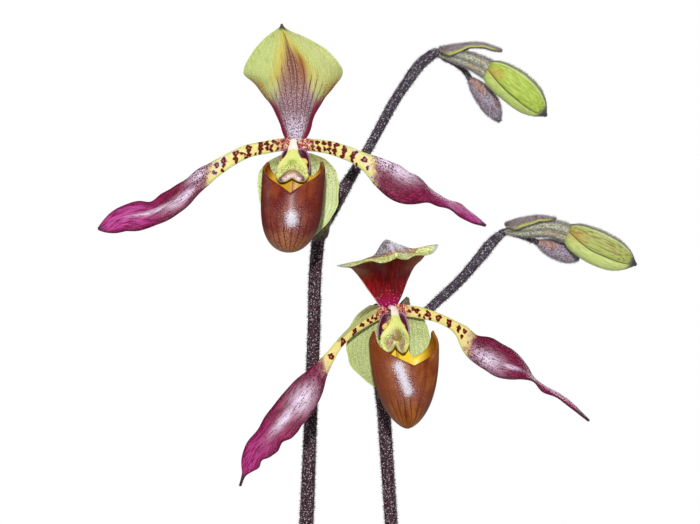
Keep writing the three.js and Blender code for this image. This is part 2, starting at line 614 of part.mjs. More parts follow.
// The slipper: an open bag with a V-shaped front lip, two ears and a tongue at the back
function pouchGeometry(pouch, centre, turn) {
  const { around, levels, rimCrowding, pinch, pinchFrom } = POUCH;
  const rimOf = profile(pouch.rim);
  const reach = pouch.ear - pouch.bottom;
  const bulge = (w) => (1 - Math.max(0, 1 - w) ** pouch.fullness) ** (1 / pouch.roundness);
  const pinched = (w) => 1 - pinch * THREE.MathUtils.clamp((w - pinchFrom) / (1 - pinchFrom), 0, 1) ** 2;
  const surface = (w, angle, inset) => {
    const grow = bulge(w) * pinched(w);
    const sideways = (pouch.halfWidth * grow - inset * Math.min(1, grow * 2)) * Math.sin(angle);
    const forward = (pouch.halfDepth * grow - inset * Math.min(1, grow * 2)) * Math.cos(angle);
    const lowered = 1 - Math.min(1, w);
    return new THREE.Vector3(
      sideways + pouch.shift + pouch.sway * lowered,
      1 - pouch.halfDepth + pouch.lean * lowered - forward,
      pouch.bottom + reach * w + inset * (1 - Math.min(1, grow * 1.2)),
    );
  };
  const vertices = [];
  for (const inset of [0, FLESH]) {
    for (let k = 1; k <= levels; k += 1) {
      for (let j = 0; j < around; j += 1) {
        const degrees = (360 * j) / around;
        const fromFront = degrees > 180 ? 360 - degrees : degrees;
        const rimShare = (rimOf(fromFront) - pouch.bottom) / reach;
        vertices.push(surface(rimShare * (k / levels) ** rimCrowding, degrees * DEGREE, inset));
      }
    }
    vertices.push(surface(0, 0, inset));
  }
  const sheetSize = levels * around + 1;
  const at = (layer, k, j) => layer * sheetSize + (k - 1) * around + (j % around);
  const pole = (layer) => (layer + 1) * sheetSize - 1;
  const faces = [];
  for (let j = 0; j < around; j += 1) {
    for (let k = 1; k < levels; k += 1) {
      faces.push([at(0, k, j), at(0, k, j + 1), at(0, k + 1, j + 1)]);
      faces.push([at(0, k, j), at(0, k + 1, j + 1), at(0, k + 1, j)]);
      faces.push([at(1, k, j), at(1, k + 1, j + 1), at(1, k, j + 1)]);
      faces.push([at(1, k, j), at(1, k + 1, j), at(1, k + 1, j + 1)]);
    }
    faces.push([pole(0), at(0, 1, j + 1), at(0, 1, j)], [pole(1), at(1, 1, j), at(1, 1, j + 1)]);
    faces.push([at(0, levels, j), at(0, levels, j + 1), at(1, levels, j + 1)]);
    faces.push([at(0, levels, j), at(1, levels, j + 1), at(1, levels, j)]);
  }
  const geometry = closedGeometry(vertices, faces);
  return geometry.rotateZ(turn * DEGREE).translate(...centre);
}

// The column with its staminode, a heart-shaped shield that hangs over the pouch's mouth
function columnGeometry({ length, halfWidth, lobe }, centre, turn) {
  const stalk = stem({
    route: routeThrough([[0, 3.5, 0], [0, 0, 0], [0, -3.6, 0.1]]), radius: () => SHIELD.stalkRadius,
    steps: 2, sides: 10,
  });
  const down = (share) => -share * length;
  const route = routeThrough([
    [0, -2.6, 0.8], [0, -5, down(0.06)], [0, -6.6, down(0.35)], [0, -7, down(0.68)],
    [0, -6.2, down(0.9)],
  ]);
  const shield = sheet({
    stations: stationsOn(route, SHIELD.rows, new THREE.Vector3(-1, 0, 0), () => 0),
    columns: SHIELD.columns,
    halfWidth: profile([[0, 1.1], [0.25, 1.3], [0.45, 0.6 * halfWidth], [0.7, 0.96 * halfWidth],
      [0.82, halfWidth], [1, 0.72 * halfWidth]]),
    curl: () => SHIELD.curl,
    thickness: SHIELD.thickness,
    lobe: (t, s) => lobe * t ** 5 * Math.sin(Math.min(1, Math.abs(s) * 1.25) * Math.PI / 2) ** 2,
  });
  const geometry = toGeometry(toSolid(stalk).add(toSolid(shield)));
  return geometry.rotateZ(turn * DEGREE).translate(...centre);
}

function addFlower(key, flower) {
  const { centre, turn } = flower;
  const rightward = new THREE.Vector3(1, 0, 0).applyAxisAngle(UP, turn * DEGREE);
  const leftward = rightward.clone().negate();
  const bract = { rows: 8, columns: 6, color: 0x6b6a55 };
  const dorsal = { rows: 16, columns: 8, color: 0x8a8a3a };
  const synsepal = { rows: 12, columns: 8, color: 0x9aa860 };
  const petal = { rows: 24, columns: 4, curl: -14, color: 0xa83a78 };
  addOvary(`${key}_ovary`, flower.ovary, centre);
  addBlade(`${key}_bract`, flower.bract, centre, leftward, bract);
  addBlade(`${key}_dorsal_sepal`, flower.dorsal, centre, rightward, dorsal);
  addBlade(`${key}_synsepal`, flower.synsepal, centre, leftward, synsepal);
  addBlade(`${key}_petal_left`, flower.petalLeft, centre, UP, petal);
  addBlade(`${key}_petal_right`, flower.petalRight, centre, DOWN, { ...petal, mirrored: true });
  const pouch = pouchGeometry(flower.pouch, centre, turn);
  addMesh(`${key}_pouch`, pouch, { color: 0x7a3b1e, roughness: 0.35 });
  const column = columnGeometry(flower.staminode, centre, turn);
  addMesh(`${key}_column`, column, { color: 0xb5b04a, roughness: 0.5 });
}

function addBudGroup(key, group) {
  const here = [0, 0, 0];
  addOvary(`${key}_bud_ovary`, group.ovary, here);
  const rearward = new THREE.Vector3(0, 1, 0);
  addBlade(`${key}_bud_bract`, group.bract, here, rearward, { rows: 8, columns: 6, color: 0x6b6a55 });
  const threeSided = (angle) => 1 + 0.05 * Math.cos(3 * angle);
  for (const [name, piece] of [['bud', group.bud], ['tip_bract', group.tipBract]]) {
    const geometry = stem({
      route: routeThrough(piece.route), radius: profile(piece.radius), steps: 10, sides: 12,
      ribs: threeSided,
    });
    addMesh(`${key}_${name}`, geometry, { color: 0x8f9a45, roughness: 0.6 });
  }
}

addPot();
addBark();
addLeaves();
addScapes();
for (const [key, flower] of Object.entries(FLOWERS)) addFlower(key, flower);
for (const [key, group] of Object.entries(BUDS)) addBudGroup(key, group);

export default plant;
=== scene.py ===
"""Looks of the potted Paphiopedilum lowii: every leaf, petal, pouch, bud and hair as fine meshes.

Lengths are in millimetres and become metres where a mesh or the camera is made. Tones of three numbers
are sRGB. The flowers face -Y, +Z is up, and the origin is the centre of the pot's underside.
"""
import math

import bpy
import numpy as np
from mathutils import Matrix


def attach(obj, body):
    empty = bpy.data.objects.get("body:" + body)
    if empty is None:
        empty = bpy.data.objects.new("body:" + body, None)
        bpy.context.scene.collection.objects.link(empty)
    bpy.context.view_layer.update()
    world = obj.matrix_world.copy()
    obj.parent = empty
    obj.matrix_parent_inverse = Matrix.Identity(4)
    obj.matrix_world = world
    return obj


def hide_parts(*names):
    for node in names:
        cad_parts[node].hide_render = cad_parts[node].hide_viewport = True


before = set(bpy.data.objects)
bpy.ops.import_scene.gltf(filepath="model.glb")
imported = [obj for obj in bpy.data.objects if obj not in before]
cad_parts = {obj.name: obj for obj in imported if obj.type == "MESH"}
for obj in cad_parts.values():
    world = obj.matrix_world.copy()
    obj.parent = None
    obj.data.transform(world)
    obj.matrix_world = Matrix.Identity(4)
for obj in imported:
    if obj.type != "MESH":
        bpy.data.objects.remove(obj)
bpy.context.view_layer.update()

MM = 0.001
FLESH = 0.8
SIDES = (("left", -1), ("right", 1))

# The shared origin, a grain without stretch, and a curve that stays at 0
HERE = (0, 0, 0)
EVEN = (1, 1, 1)
LEVEL = [(0, 0), (1, 0)]

# The radius at which turned bodies close, and the step between the noise of two pieces
AXIS = 0.01
SEED_STEP = 9.7

CAMERA = {"place": (0, -1000, 480), "lens": 151.26, "sensor": 36}

CROWN_TOP = 112.7
SEAT_GAP = 0.3
POT = {
    "height": 134, "rim_radius": 78, "rim_height": 30, "shoulder_radius": 72.5, "foot_radius": 53,
    "wall": 6.5, "floor": 9, "edge": 1.8, "hole_radius": 6, "hole_ring": 29, "holes": 5,
    "sides": 160, "hole_sides": 48,
}
BARK = {
    "level": 113, "chips": 230, "chip_length": 17, "chip_width": 10, "chip_height": 4.4,
    "free_round_crown": 12, "low_round_crown": 13, "sides": 64,
}

# Growths: x, y and turn
GROWTHS = {"a": (-28, 8, 230), "b": (34, 4, 230)}
LEAF = {"thickness": 1.3, "first_ring": 5.2, "ring_step": 2.5, "wrap": 84}

# Hairy parts: slot, rows and columns of the mesh, and count, length and radius of the hairs
HAIRY = {
    "scape": ("scape", 260, 24, (30000, 0.85, 0.065)),
    "ovary": ("ovary", 80, 40, (4000, 0.8, 0.05)),
    "bract": ("bract", 56, 33, (4500, 0.6, 0.045)),
    "bud_ovary": ("ovary", 60, 40, (3500, 0.85, 0.05)),
    "bud_bract": ("bract", 56, 33, (4500, 0.8, 0.05)),
    "bud": ("bud", 80, 96, (2500, 0.5, 0.035)),
    "tip_bract": ("bract", 60, 36, (4000, 0.85, 0.05)),
}

# Rows and columns of the other meshes
GRID = {
    "petal": (260, 31), "dorsal": (170, 57), "synsepal": (100, 41), "side_lobe": (40, 21), "leaf": (97, 27),
    "pouch": (46, 120), "staminode": (90, 45), "column_stalk": (16, 32), "anther": (18, 18),
}

# First seeds of the random draws, and the step from one flower or bud group to the next
SEEDS = {"bark": 7, "scape": 40, "flower": 100, "bud": 300, "step": 100}

# Leaves of one growth: side, ring, length, width, sheath, lean, droop and bend
LEAVES = {
    "a": [
        ("front", 0, 300, 40, 46, 10, 92, -8),
        ("back", 0, 318, 42, 40, 12, 104, 14),
        ("front", 1, 330, 45, 30, 24, 112, -24),
        ("back", 1, 300, 44, 25, 30, 118, 30),
        ("front", 2, 236, 42, 15, 46, 120, -2),
    ],
    "b": [
        ("back", 0, 290, 40, 46, 10, 90, -10),
        ("front", 0, 322, 43, 40, 12, 108, 14),
        ("back", 1, 326, 45, 30, 24, 110, -26),
        ("front", 1, 292, 44, 25, 31, 116, 28),
        ("back", 2, 240, 42, 15, 46, 121, -2),
    ],
}

SCAPES = {
    "a": {
        "route": [
            (-28, 8, 113), (-27.6, 8.8, 165), (-22.6, 17, 260), (-15.2, 28, 389), (-12.7, 28.5, 454),
            (-11.6, 28.5, 483), (-10.6, 28.5, 490.5), (-7.2, 28.5, 496.9), (6.8, 26, 520.3),
            (18.9, 24, 541.2), (26.8, 22.6, 550.8), (30.4, 22.4, 552.8), (33.2, 22.8, 551),
            (36.4, 23.2, 549.2), (39.5, 23.6, 547), (42.4, 23.7, 542.6),
        ],
        "radius": [(0, 2.6), (0.2, 2.5), (0.6, 2.4), (0.81, 2.35), (0.83, 2.5), (0.85, 1.9), (0.92, 1.7),
                   (0.96, 1.8), (0.975, 1.15), (1, 1)],
    },
    "b": {
        "route": [
            (34, 4, 113), (33.4, 5, 165), (25.5, 15, 260), (14.4, 28, 389), (11.8, 30, 428),
            (10.9, 30, 441), (11.9, 30, 447.5), (17.5, 30, 453.6), (30.2, 29, 465.8),
            (39.8, 28, 475), (46, 27, 482.4), (51, 26.2, 488.2), (54.4, 26, 490.6), (58, 26.4, 489.6),
            (66.6, 25.4, 486.4),
        ],
        "radius": [(0, 2.6), (0.2, 2.5), (0.6, 2.4), (0.78, 2.35), (0.8, 2.5), (0.83, 1.85), (0.92, 1.7),
                   (0.955, 1.8), (0.97, 1.15), (1, 1)],
    },
}

# Flowers: routes are measured from the flower's centre, where its parts meet, and curves are pairs of a
# share of the length and a value. A spot is its place along the petal, its share of the half width and
# its radius. A sheen is its middle across the petal, then its peak, its reach along and its width across.
# A pouch's rim is pairs of an angle from the front and a height, and its painted highlight is a start, an
# end and a reach, as seen from the front.
FLOWERS = {
    "a": {
        "centre": (-19, 0, 519),
        "turn": -3,
        "ovary": {
            "route": [(8.5, 24.6, -27.6), (7, 23.8, -17), (3.4, 19, -5.5), (0.6, 10.5, -0.5), (0, 4, 0)],
            "radius": [(0, 1.5), (0.35, 2), (0.75, 2.35), (1, 2.4)],
        },
        "bract": {
            "route": [(8, 25.4, -31.5), (7.2, 21, -28.5), (5, 16.6, -20.5), (2.6, 13.6, -12)],
            "half_width": [(0, 4.2), (0.35, 8.6), (0.7, 10.8), (0.9, 9.6), (1, 8)],
            "curl": [(0, 70), (0.35, 92), (0.7, 92), (1, 70)],
            "arms": 5,
        },
        "dorsal": {
            "route": [(0.5, 2.4, 1.6), (0.4, 1.4, 9), (0.2, -0.6, 16), (-0.3, -2.5, 25.5), (-2, -4.8, 33.4),
                      (-4.1, -8, 41.2)],
            "half_width": [(0, 2.8), (0.05, 4.2), (0.16, 7), (0.34, 11.2), (0.46, 14.3), (0.57, 16.9),
                           (0.66, 16.2), (0.76, 12.6), (0.85, 8.1), (0.91, 4.6), (0.94, 2.6), (0.965, 1.1),
                           (0.985, 0.5), (1, 0.2)],
            "curl": [(0, -15), (0.16, -58), (0.34, -52), (0.46, -34), (0.59, -12), (0.8, 12), (1, 20)],
            "shear": 0.5, "sag": 1.6,
        },
        "synsepal": {
            "route": [(0.5, 3.1, -2.2), (0.8, 4.2, -6), (1.3, 5.6, -11), (2, 6.5, -17), (2.3, 6.3, -25),
                      (2, 5, -32)],
            "half_width": [(0, 5.5), (0.05, 9.2), (0.13, 12.2), (0.3, 14.3), (0.45, 14.4), (0.6, 13.4),
                           (0.73, 11.3), (0.83, 8.8), (0.91, 6), (1, 1.4)],
            "curl": [(0, 10), (0.3, 26), (1, 30)],
        },
        "petal_left": {
            "route": [(-0.9, 2.3, 1.5), (-8.8, 1.2, 0.2), (-15, 0.5, -1.1), (-24.1, 0.5, -5.5),
                      (-32.1, 1.5, -10.9), (-40.7, 3, -17.7), (-49.3, 5, -22.2), (-58, 6.5, -23.6),
                      (-67.3, 8, -27.8)],
            "half_width": [(0, 2.2), (0.18, 2.2), (0.32, 2.5), (0.455, 3.5), (0.61, 5.2), (0.74, 5.8),
                           (0.86, 5.8), (0.94, 4.3), (0.98, 2), (1, 0.4)],
            "roll": [(0, 0), (0.3, 2), (0.5, 18), (0.7, 31), (1, 36)],
            "spotted": 30, "slant": 3.2, "rolled": 2, "tail": 0.985,
            "spots": [(2.9, 0.5, 0.6), (3.2, -0.3, 0.65), (4.6, 0.2, 0.6), (5.2, -0.6, 0.6),
                      (5.9, 0.6, 0.65), (7, 0, 0.6), (7.4, -0.6, 0.6), (8.4, 0.5, 0.8), (8.7, -0.2, 0.65),
                      (10.6, 0.5, 0.9), (10.9, -0.05, 0.75), (11.2, -0.6, 0.65), (13, -0.65, 0.45),
                      (14.6, 0.5, 0.9), (14.9, 0, 0.8), (15.2, -0.5, 0.75), (16.6, -0.75, 0.4),
                      (17.4, 0.1, 0.55), (19.3, 0.4, 1.1), (20.1, -0.25, 0.8), (20.5, -0.7, 0.65),
                      (16.8, -0.4, 0.35), (23.9, 0.35, 1.15), (24.9, -0.25, 0.75), (26.7, 0.2, 1.1),
                      (26, -0.7, 0.6), (28.8, -0.35, 0.85)],
            "sheen": [(0.45, 0.45, 0.06, 0.5), (-0.3, 0.57, 0.09, 0.34), (-0.05, 0.72, 0.1, 0.14)],
        },
        "petal_right": {
            "route": [(1.5, 2.3, 1.3), (13.3, 0, -0.4), (24.1, -1.8, -4.9), (36.7, -2.6, -12.9),
                      (46.8, -2, -16.2), (57.1, -0.5, -21.6), (65.2, 0.5, -26.7)],
            "half_width": [(0, 2.1), (0.16, 2.3), (0.33, 2.9), (0.45, 5.1), (0.55, 6.3), (0.65, 6.1),
                           (0.75, 5), (0.86, 4.3), (0.94, 3), (1, 0.4)],
            "roll": [(0, 0), (0.3, 2), (0.5, 16), (0.58, 26), (0.64, 46), (0.7, 64), (0.76, 66), (0.86, 60),
                     (1, 58)],
            "spotted": 27.6, "slant": 2.6, "rolled": 2, "tail": 0.975,
            "spots": [(3, 0.45, 0.65), (3.3, -0.4, 0.65), (4.7, 0.5, 0.65), (5, -0.15, 0.6),
                      (5.4, -0.65, 0.55), (6.6, 0.45, 0.7), (7, -0.3, 0.65), (7.7, -0.7, 0.5),
                      (8.7, 0.45, 0.8), (9.4, -0.35, 0.6), (10.7, 0.5, 0.75), (10.9, -0.25, 0.6),
                      (11.4, -0.7, 0.5), (12.9, 0.55, 0.85), (12.7, -0.15, 0.75), (13.3, -0.6, 0.6),
                      (15.9, 0.5, 1), (16.3, -0.05, 0.75), (16.1, -0.6, 0.75), (19.6, 0.45, 0.95),
                      (19.3, -0.1, 0.8), (19.9, -0.6, 0.7), (21.9, -0.8, 0.45), (23.6, 0.15, 1.15),
                      (25.9, -0.4, 0.75), (29, -0.75, 0.4)],
            "sheen": [(0.8, 0.42, 0.07, 0.6), (0.7, 0.52, 0.09, 0.5)],
        },
        "pouch": {
            "half_width": 10.65, "half_depth": 10.4, "bottom": -35.9, "ear": -5.2, "fullness": 4.4,
            "roundness": 2, "toe": 6, "shift": 0.8, "sway": -1.6, "lean": -4.4, "cushion": 7.5,
            "painted_highlight": ((-0.4, -23.8), (-0.4, -25.4), 2.6),
            "rim": [(0, -16.2), (20, -13.7), (42, -11.6), (64, -9.6), (82, -7.9), (95, -5.9), (103, -5.2),
                    (114, -6.3), (132, -8.8), (146, -10.4), (156, -9.4), (168, -4.6), (180, -2.6)],
        },
        "side_lobes": {
            "left": [(-0.8, 0.4, -1.7), (-2.4, -1, -2.5), (-3.5, -2, -4.2), (-3.8, -2.6, -6.4)],
            "right": [(1, 0.4, -1.6), (3, -1, -2.2), (4.3, -2.2, -4.4), (4.7, -3, -7), (4.5, -3.6, -9)],
        },
        "staminode": {
            "bulge": [(0, -2.4), (0.2, -5), (0.42, -7.4), (0.72, -9.4), (1, -10)],
            "top": 2.3, "foot": -10.4, "shift": 0, "lobe": 1.4, "notch": (0.03, 0.5), "shoulder": 0.66,
            "rise": 1.3, "curled": 1, "whorl": (0, 3.6, -0.3, 2.6), "tooth": (1.7, 1),
            "heart": (2, 4.6, 1.7), "anther": (-6.2, 4.3),
            "half_width": [(0, 0.95), (0.1, 1), (0.2, 1.45), (0.42, 1.95), (0.5, 2.4), (0.6, 3.5),
                           (0.68, 4.4), (0.77, 4.95), (0.87, 5.15), (1, 4.9)],
        },
    },
    "b": {
        "centre": (13.9, 0, 464),
        "turn": 17,
        "ovary": {
            "route": [(-2, 26.4, -15.6), (-2, 24.4, -8), (-1.2, 18, -1.4), (-0.2, 10, 0), (0, 4, 0)],
            "radius": [(0, 1.5), (0.3, 2), (0.75, 2.35), (1, 2.4)],
        },
        "bract": {
            "route": [(-2.8, 27, -22.4), (-2.7, 21.4, -19.6), (-2.1, 16.6, -13.6), (-0.8, 14.6, -6.6)],
            "half_width": [(0, 5.5), (0.35, 11), (0.7, 12.6), (0.9, 11.4), (1, 9.6)],
            "curl": [(0, 66), (0.35, 88), (0.7, 76), (1, 52)],
            "arms": 9.4,
            "shear": 0.3,
        },
        "dorsal": {
            "route": [(-0.7, 2.2, 0.6), (-0.9, 0, 7.5), (-1.1, -6.5, 14), (-1.8, -13.5, 20.2),
                      (-1.8, -20, 22.8), (-0.2, -26, 21), (1.4, -30.5, 16.8)],
            "half_width": [(0, 3), (0.13, 6.6), (0.34, 11.2), (0.46, 14), (0.57, 16.4), (0.66, 16.8),
                           (0.76, 14), (0.86, 9.6), (0.94, 5), (1, 0.6)],
            "curl": [(0, -10), (0.13, -16), (0.34, -10), (0.6, 2), (0.8, 10), (1, 20)],
            "roll": [(0, 0), (0.3, 3), (0.6, 8.5), (1, 8)],
            "gable": [(0, 0), (0.3, 0), (0.55, 4), (0.7, 4.4), (0.85, 3.2), (1, 0)],
            "left_flank": 0.36,
            "lip": [(-20, -0.2), (-13.3, 0), (-7.4, 0.9), (-3.7, 0), (-1, 0.6), (1.4, 1.7), (3.4, 0.6),
                    (4.9, 0), (8, 0.4), (10.8, 0), (20, 0)],
        },
        "synsepal": {
            "route": [(-0.3, 3.8, 1.2), (-0.6, 4.8, -4), (-1.2, 6.4, -10), (-1.5, 6.9, -17),
                      (-1.2, 6.4, -23), (-0.6, 5.5, -28.5)],
            "half_width": [(0, 7.2), (0.065, 10), (0.16, 12.6), (0.3, 14.6), (0.4, 15.2), (0.53, 15.8),
                           (0.66, 14.6), (0.76, 12.2), (0.845, 9.4), (0.92, 6.2), (1, 1.4)],
            "curl": [(0, -6), (0.25, 2), (0.42, 18), (1, 26)],
        },
        "petal_left": {
            "route": [(-0.9, 2.4, -0.2), (-8.5, -1.7, -4), (-15.8, -5.4, -9.8), (-22.4, -8, -18.5),
                      (-29.8, -10.5, -29.2), (-40.4, -13, -42), (-46.2, -13.5, -48.6), (-49.6, -13, -55.6),
                      (-50.8, -12, -59.2)],
            "half_width": [(0, 2.1), (0.1, 2), (0.34, 1.9), (0.44, 3.7), (0.53, 5.7), (0.62, 6.1),
                           (0.74, 5.3), (0.85, 4.3), (0.92, 2.5), (0.95, 0.9), (0.965, 0.6), (1, 0.35)],
            "roll": [(0, 0), (0.3, 2), (0.5, 14), (0.8, 20), (1, 26)],
            "spotted": 31, "slant": 1.5, "rolled": 0.3, "tail": 0.95, "frill": 0.5,
            "spots": [(2.6, 0, 0.6), (3.6, -0.5, 0.55), (4.6, 0.1, 0.6), (5.8, -0.4, 0.55), (6.9, 0, 0.6),
                      (8, -0.5, 0.55), (8.9, -0.1, 0.5), (11.6, -0.2, 0.75), (14.9, -0.2, 0.85),
                      (16, -0.6, 0.5), (20.6, -0.1, 0.95), (21.7, -0.5, 0.6), (27.2, -0.05, 1.05)],
            "sheen": [(-0.1, 0.55, 0.07, 0.55), (0, 0.66, 0.08, 0.25)],
        },
        "petal_right": {
            "route": [(1.3, 2.4, -0.2), (9.9, 4.2, -1.3), (17.9, 6.5, -3.8), (24.4, 9, -7.9),
                      (27.8, 10.5, -11.9), (37, 13.5, -17), (44.9, 15.5, -20.2), (51.9, 17, -26.2),
                      (60.8, 18, -31.8), (68.9, 18.5, -39)],
            "half_width": [(0, 2.1), (0.1, 2), (0.29, 2.1), (0.37, 4), (0.45, 5.8), (0.55, 6.8),
                           (0.65, 6.2), (0.75, 4.6), (0.87, 3.4), (0.95, 1.6), (1, 0.4)],
            "roll": [(0, 0), (0.3, 2), (0.45, 18), (0.55, 30), (0.6, 40), (0.65, 58), (0.7, 77), (0.76, 77),
                     (0.87, 74), (1, 70)],
            "spotted": 30, "slant": 1.5, "rolled": 2, "tail": 0.93,
            "spots": [(2.6, 0.35, 0.65), (3.2, -0.4, 0.6), (4.9, 0, 0.65), (6.4, 0.4, 0.6),
                      (7.6, 0.2, 0.85), (8.8, -0.4, 0.45), (10.6, -0.6, 0.45), (11.7, 0.1, 1.05),
                      (13, -0.6, 0.5), (15.7, 0, 1.05), (19.7, 0.1, 1.05), (20.5, -0.55, 0.55),
                      (23.7, 0.2, 0.75), (24.3, -0.3, 0.65), (26.3, 0.25, 0.85), (26.9, -0.45, 0.7),
                      (29.6, -0.2, 0.4)],
            "sheen": [(-0.35, 0.47, 0.07, 0.45), (-0.3, 0.58, 0.05, 0.12)],
        },
        "pouch": {
            "half_width": 12, "half_depth": 11, "bottom": -40, "ear": -8, "fullness": 2.5,
            "roundness": 1.6, "toe": 4.5, "shift": 1.2, "sway": 0.2, "lean": -3.6, "cushion": 3,
            "painted_highlight": ((2.1, -18.6), (5.5, -27), 2.1),
            "rim": [(0, -18.7), (18, -17.1), (40, -15), (64, -12), (80, -8.6), (90, -7.3), (102, -9.2),
                    (120, -13.2), (138, -15.7), (156, -15.2), (168, -8), (180, -3)],
        },
        "side_lobes": {
            "left": [(-0.6, 0.6, -2), (-2.3, -0.6, -2.8), (-3.4, -1.4, -5), (-4, -2, -9)],
            "right": [(1.8, 0.8, -1.6), (3.4, -0.4, -3), (4.8, -1.4, -6), (5.7, -2, -8.4)],
        },
        "staminode": {
            "bulge": [(0, -2.4), (0.2, -5), (0.42, -6.6), (0.72, -7.4), (1, -7.2)],
            "top": 0.6, "foot": -11.5, "shift": -0.6, "lobe": 3, "notch": (0.02, 0.46), "shoulder": 0.52,
            "rise": 1.1, "curled": 0.35, "whorl": (2.1, 1.3, -0.2, 2.2), "tooth": (1.6, 1),
            "heart": (2.1, 3, 2.4), "anther": (-7, 3.5),
            "half_width": [(0, 1), (0.1, 1), (0.2, 1.2), (0.32, 1.35), (0.46, 1.85), (0.61, 3),
                           (0.72, 4.15), (0.84, 4.9), (0.92, 4.95), (1, 4.7)],
        },
    },
}

# Buds: a seam is the angle in radians where a side sepal meets the upper one
BUDS = {
    "a": {
        "seam": 3.5,
        "ovary": {
            "route": [(31.6, 21.4, 552.2), (38, 17.6, 550.8), (42.6, 16.6, 549.2), (49.6, 16, 545.4)],
            "radius": [(0, 1.2), (0.35, 2.4), (0.7, 3.2), (0.85, 3.4), (1, 2.9)],
        },
        "bract": {
            "route": [(31, 19.2, 554.2), (37, 17.7, 555), (45.4, 16.6, 555.4), (52.6, 16.2, 553)],
            "half_width": [(0, 1.6), (0.06, 3.6), (0.16, 5.6), (0.3, 5.2), (0.45, 3.4), (0.65, 3),
                           (0.88, 2.6), (1, 0.7)],
            "curl": [(0, 60), (0.16, 78), (0.3, 70), (0.65, 52), (1, 40)],
        },
        "bud": {
            "route": [(47.2, 16, 547), (57.6, 15.8, 540), (68, 16.6, 530.4)],
            "radius": [(0, 3.1), (0.08, 4.5), (0.25, 5.8), (0.5, 6.3), (0.75, 5.2), (0.9, 2.8), (0.96, 1.2),
                       (1, 0.4)],
        },
        "tip_bract": {
            "route": [(41.8, 23.7, 543.5), (47.3, 23.8, 537.2), (52.2, 22.8, 528.8)],
            "radius": [(0, 1.1), (0.2, 2.5), (0.5, 3.3), (0.8, 2.5), (1, 0.5)],
        },
    },
    "b": {
        "seam": 3.3,
        "ovary": {
            "route": [(54.4, 24.6, 490.6), (62.6, 21.5, 491), (69, 20.7, 491.6), (77.4, 20.2, 489.4)],
            "radius": [(0, 1.2), (0.35, 2.4), (0.7, 3.1), (0.85, 3.3), (1, 2.9)],
        },
        "bract": {
            "route": [(53.8, 22.2, 493.2), (59.4, 21.3, 494.9), (66, 20.6, 495.7), (71.6, 20.2, 495)],
            "half_width": [(0, 1.4), (0.08, 3), (0.2, 5), (0.45, 5.2), (0.7, 4.2), (0.88, 2.8), (1, 0.7)],
            "curl": [(0, 60), (0.16, 76), (0.3, 70), (0.65, 52), (1, 40)],
        },
        "bud": {
            "route": [(75.2, 20.3, 490.3), (87.2, 19.4, 484.4), (99.4, 19.6, 479)],
            "radius": [(0, 3.1), (0.08, 4.6), (0.25, 5.9), (0.5, 6.4), (0.75, 5.2), (0.9, 2.8), (0.96, 1.2),
                       (1, 0.4)],
        },
        "tip_bract": {
            "route": [(65.6, 25.2, 486.7), (72.6, 26.8, 484.2), (80.2, 27.4, 481.6)],
            "radius": [(0, 1.1), (0.2, 2.5), (0.5, 3.3), (0.85, 2.6), (1, 1.2)],
        },
    },
}

# Shared by form and look: the ribs round an ovary, the twist of a bud's seam from its foot up to where it
# runs straight, and the angle of the ridge on the bud's upper sepal
OVARY_RIBS = 5
SEAM_TWIST = 2.6
SEAM_STRAIGHT = 0.45
RIDGE_ANGLE = 2.18


# Numbers and curves

def smooth(value, low, high):
    u = np.clip((value - low) / (high - low), 0, 1)
    return u * u * (3 - 2 * u)


def bell(value):
    return np.exp(-value ** 2)


def unit(vectors):
    return vectors / np.linalg.norm(vectors, axis=-1, keepdims=True)


def profile(pairs):
    """A smooth curve through (place, value) pairs, with slopes from the neighbours."""
    place, value = np.array(pairs, float).T
    gap = np.diff(place)
    step = np.diff(value) / gap
    inner = (step[1:] * gap[:-1] + step[:-1] * gap[1:]) / (gap[:-1] + gap[1:])
    slope = np.concatenate([step[:1], inner, step[-1:]])

    def at(t):
        i = np.clip(np.searchsorted(place, t) - 1, 0, len(gap) - 1)
        u = np.clip((t - place[i]) / gap[i], 0, 1)
        rise = u * u * (3 - 2 * u)
        return (value[i] * (1 - rise) + value[i + 1] * rise
                + u * (1 - u) ** 2 * gap[i] * slope[i] - u * u * (1 - u) * gap[i] * slope[i + 1])
    return at


def route_through(points, origin):
    """A smooth route through points, by the share of its length from 0 to 1, and its length."""
    placed = np.array(points, float) + np.array(origin, float)
    steps = np.linalg.norm(np.diff(placed, axis=0), axis=1)
    share = np.concatenate([[0], np.cumsum(steps)]) / steps.sum()
    axes = [profile(np.column_stack([share, placed[:, k]])) for k in range(3)]
    return lambda t: np.stack([axis(t) for axis in axes], -1), steps.sum()


def stations_on(route, t, side, roll=0):
    """Points, headings and width directions at the shares t of a route."""
    nudge = 0.002
    heading = unit(route(np.minimum(1, t + nudge)) - route(np.maximum(0, t - nudge)))
    side = np.array(side, float)
    across = unit(side - heading * (heading @ side)[:, None])
    angle = np.radians(roll + 0 * t)[:, None]
    across = across * np.cos(angle) + np.cross(heading, across) * np.sin(angle)
    return route(t), heading, across


def spun(degrees, x, y, z=0):
    """A point turned about the vertical axis."""
    angle = math.radians(degrees)
    return x * math.cos(angle) - y * math.sin(angle), x * math.sin(angle) + y * math.cos(angle), z


def even_angles(count):
    return np.linspace(0, 2 * math.pi, count, endpoint=False)


# Meshes

def tube_faces(rows, around):
    i, j = np.meshgrid(np.arange(rows - 1), np.arange(around), indexing="ij")
    corner = i * around + j
    beside = i * around + (j + 1) % around
    return np.stack([corner, beside, beside + around, corner + around], -1).reshape(-1, 4).tolist()


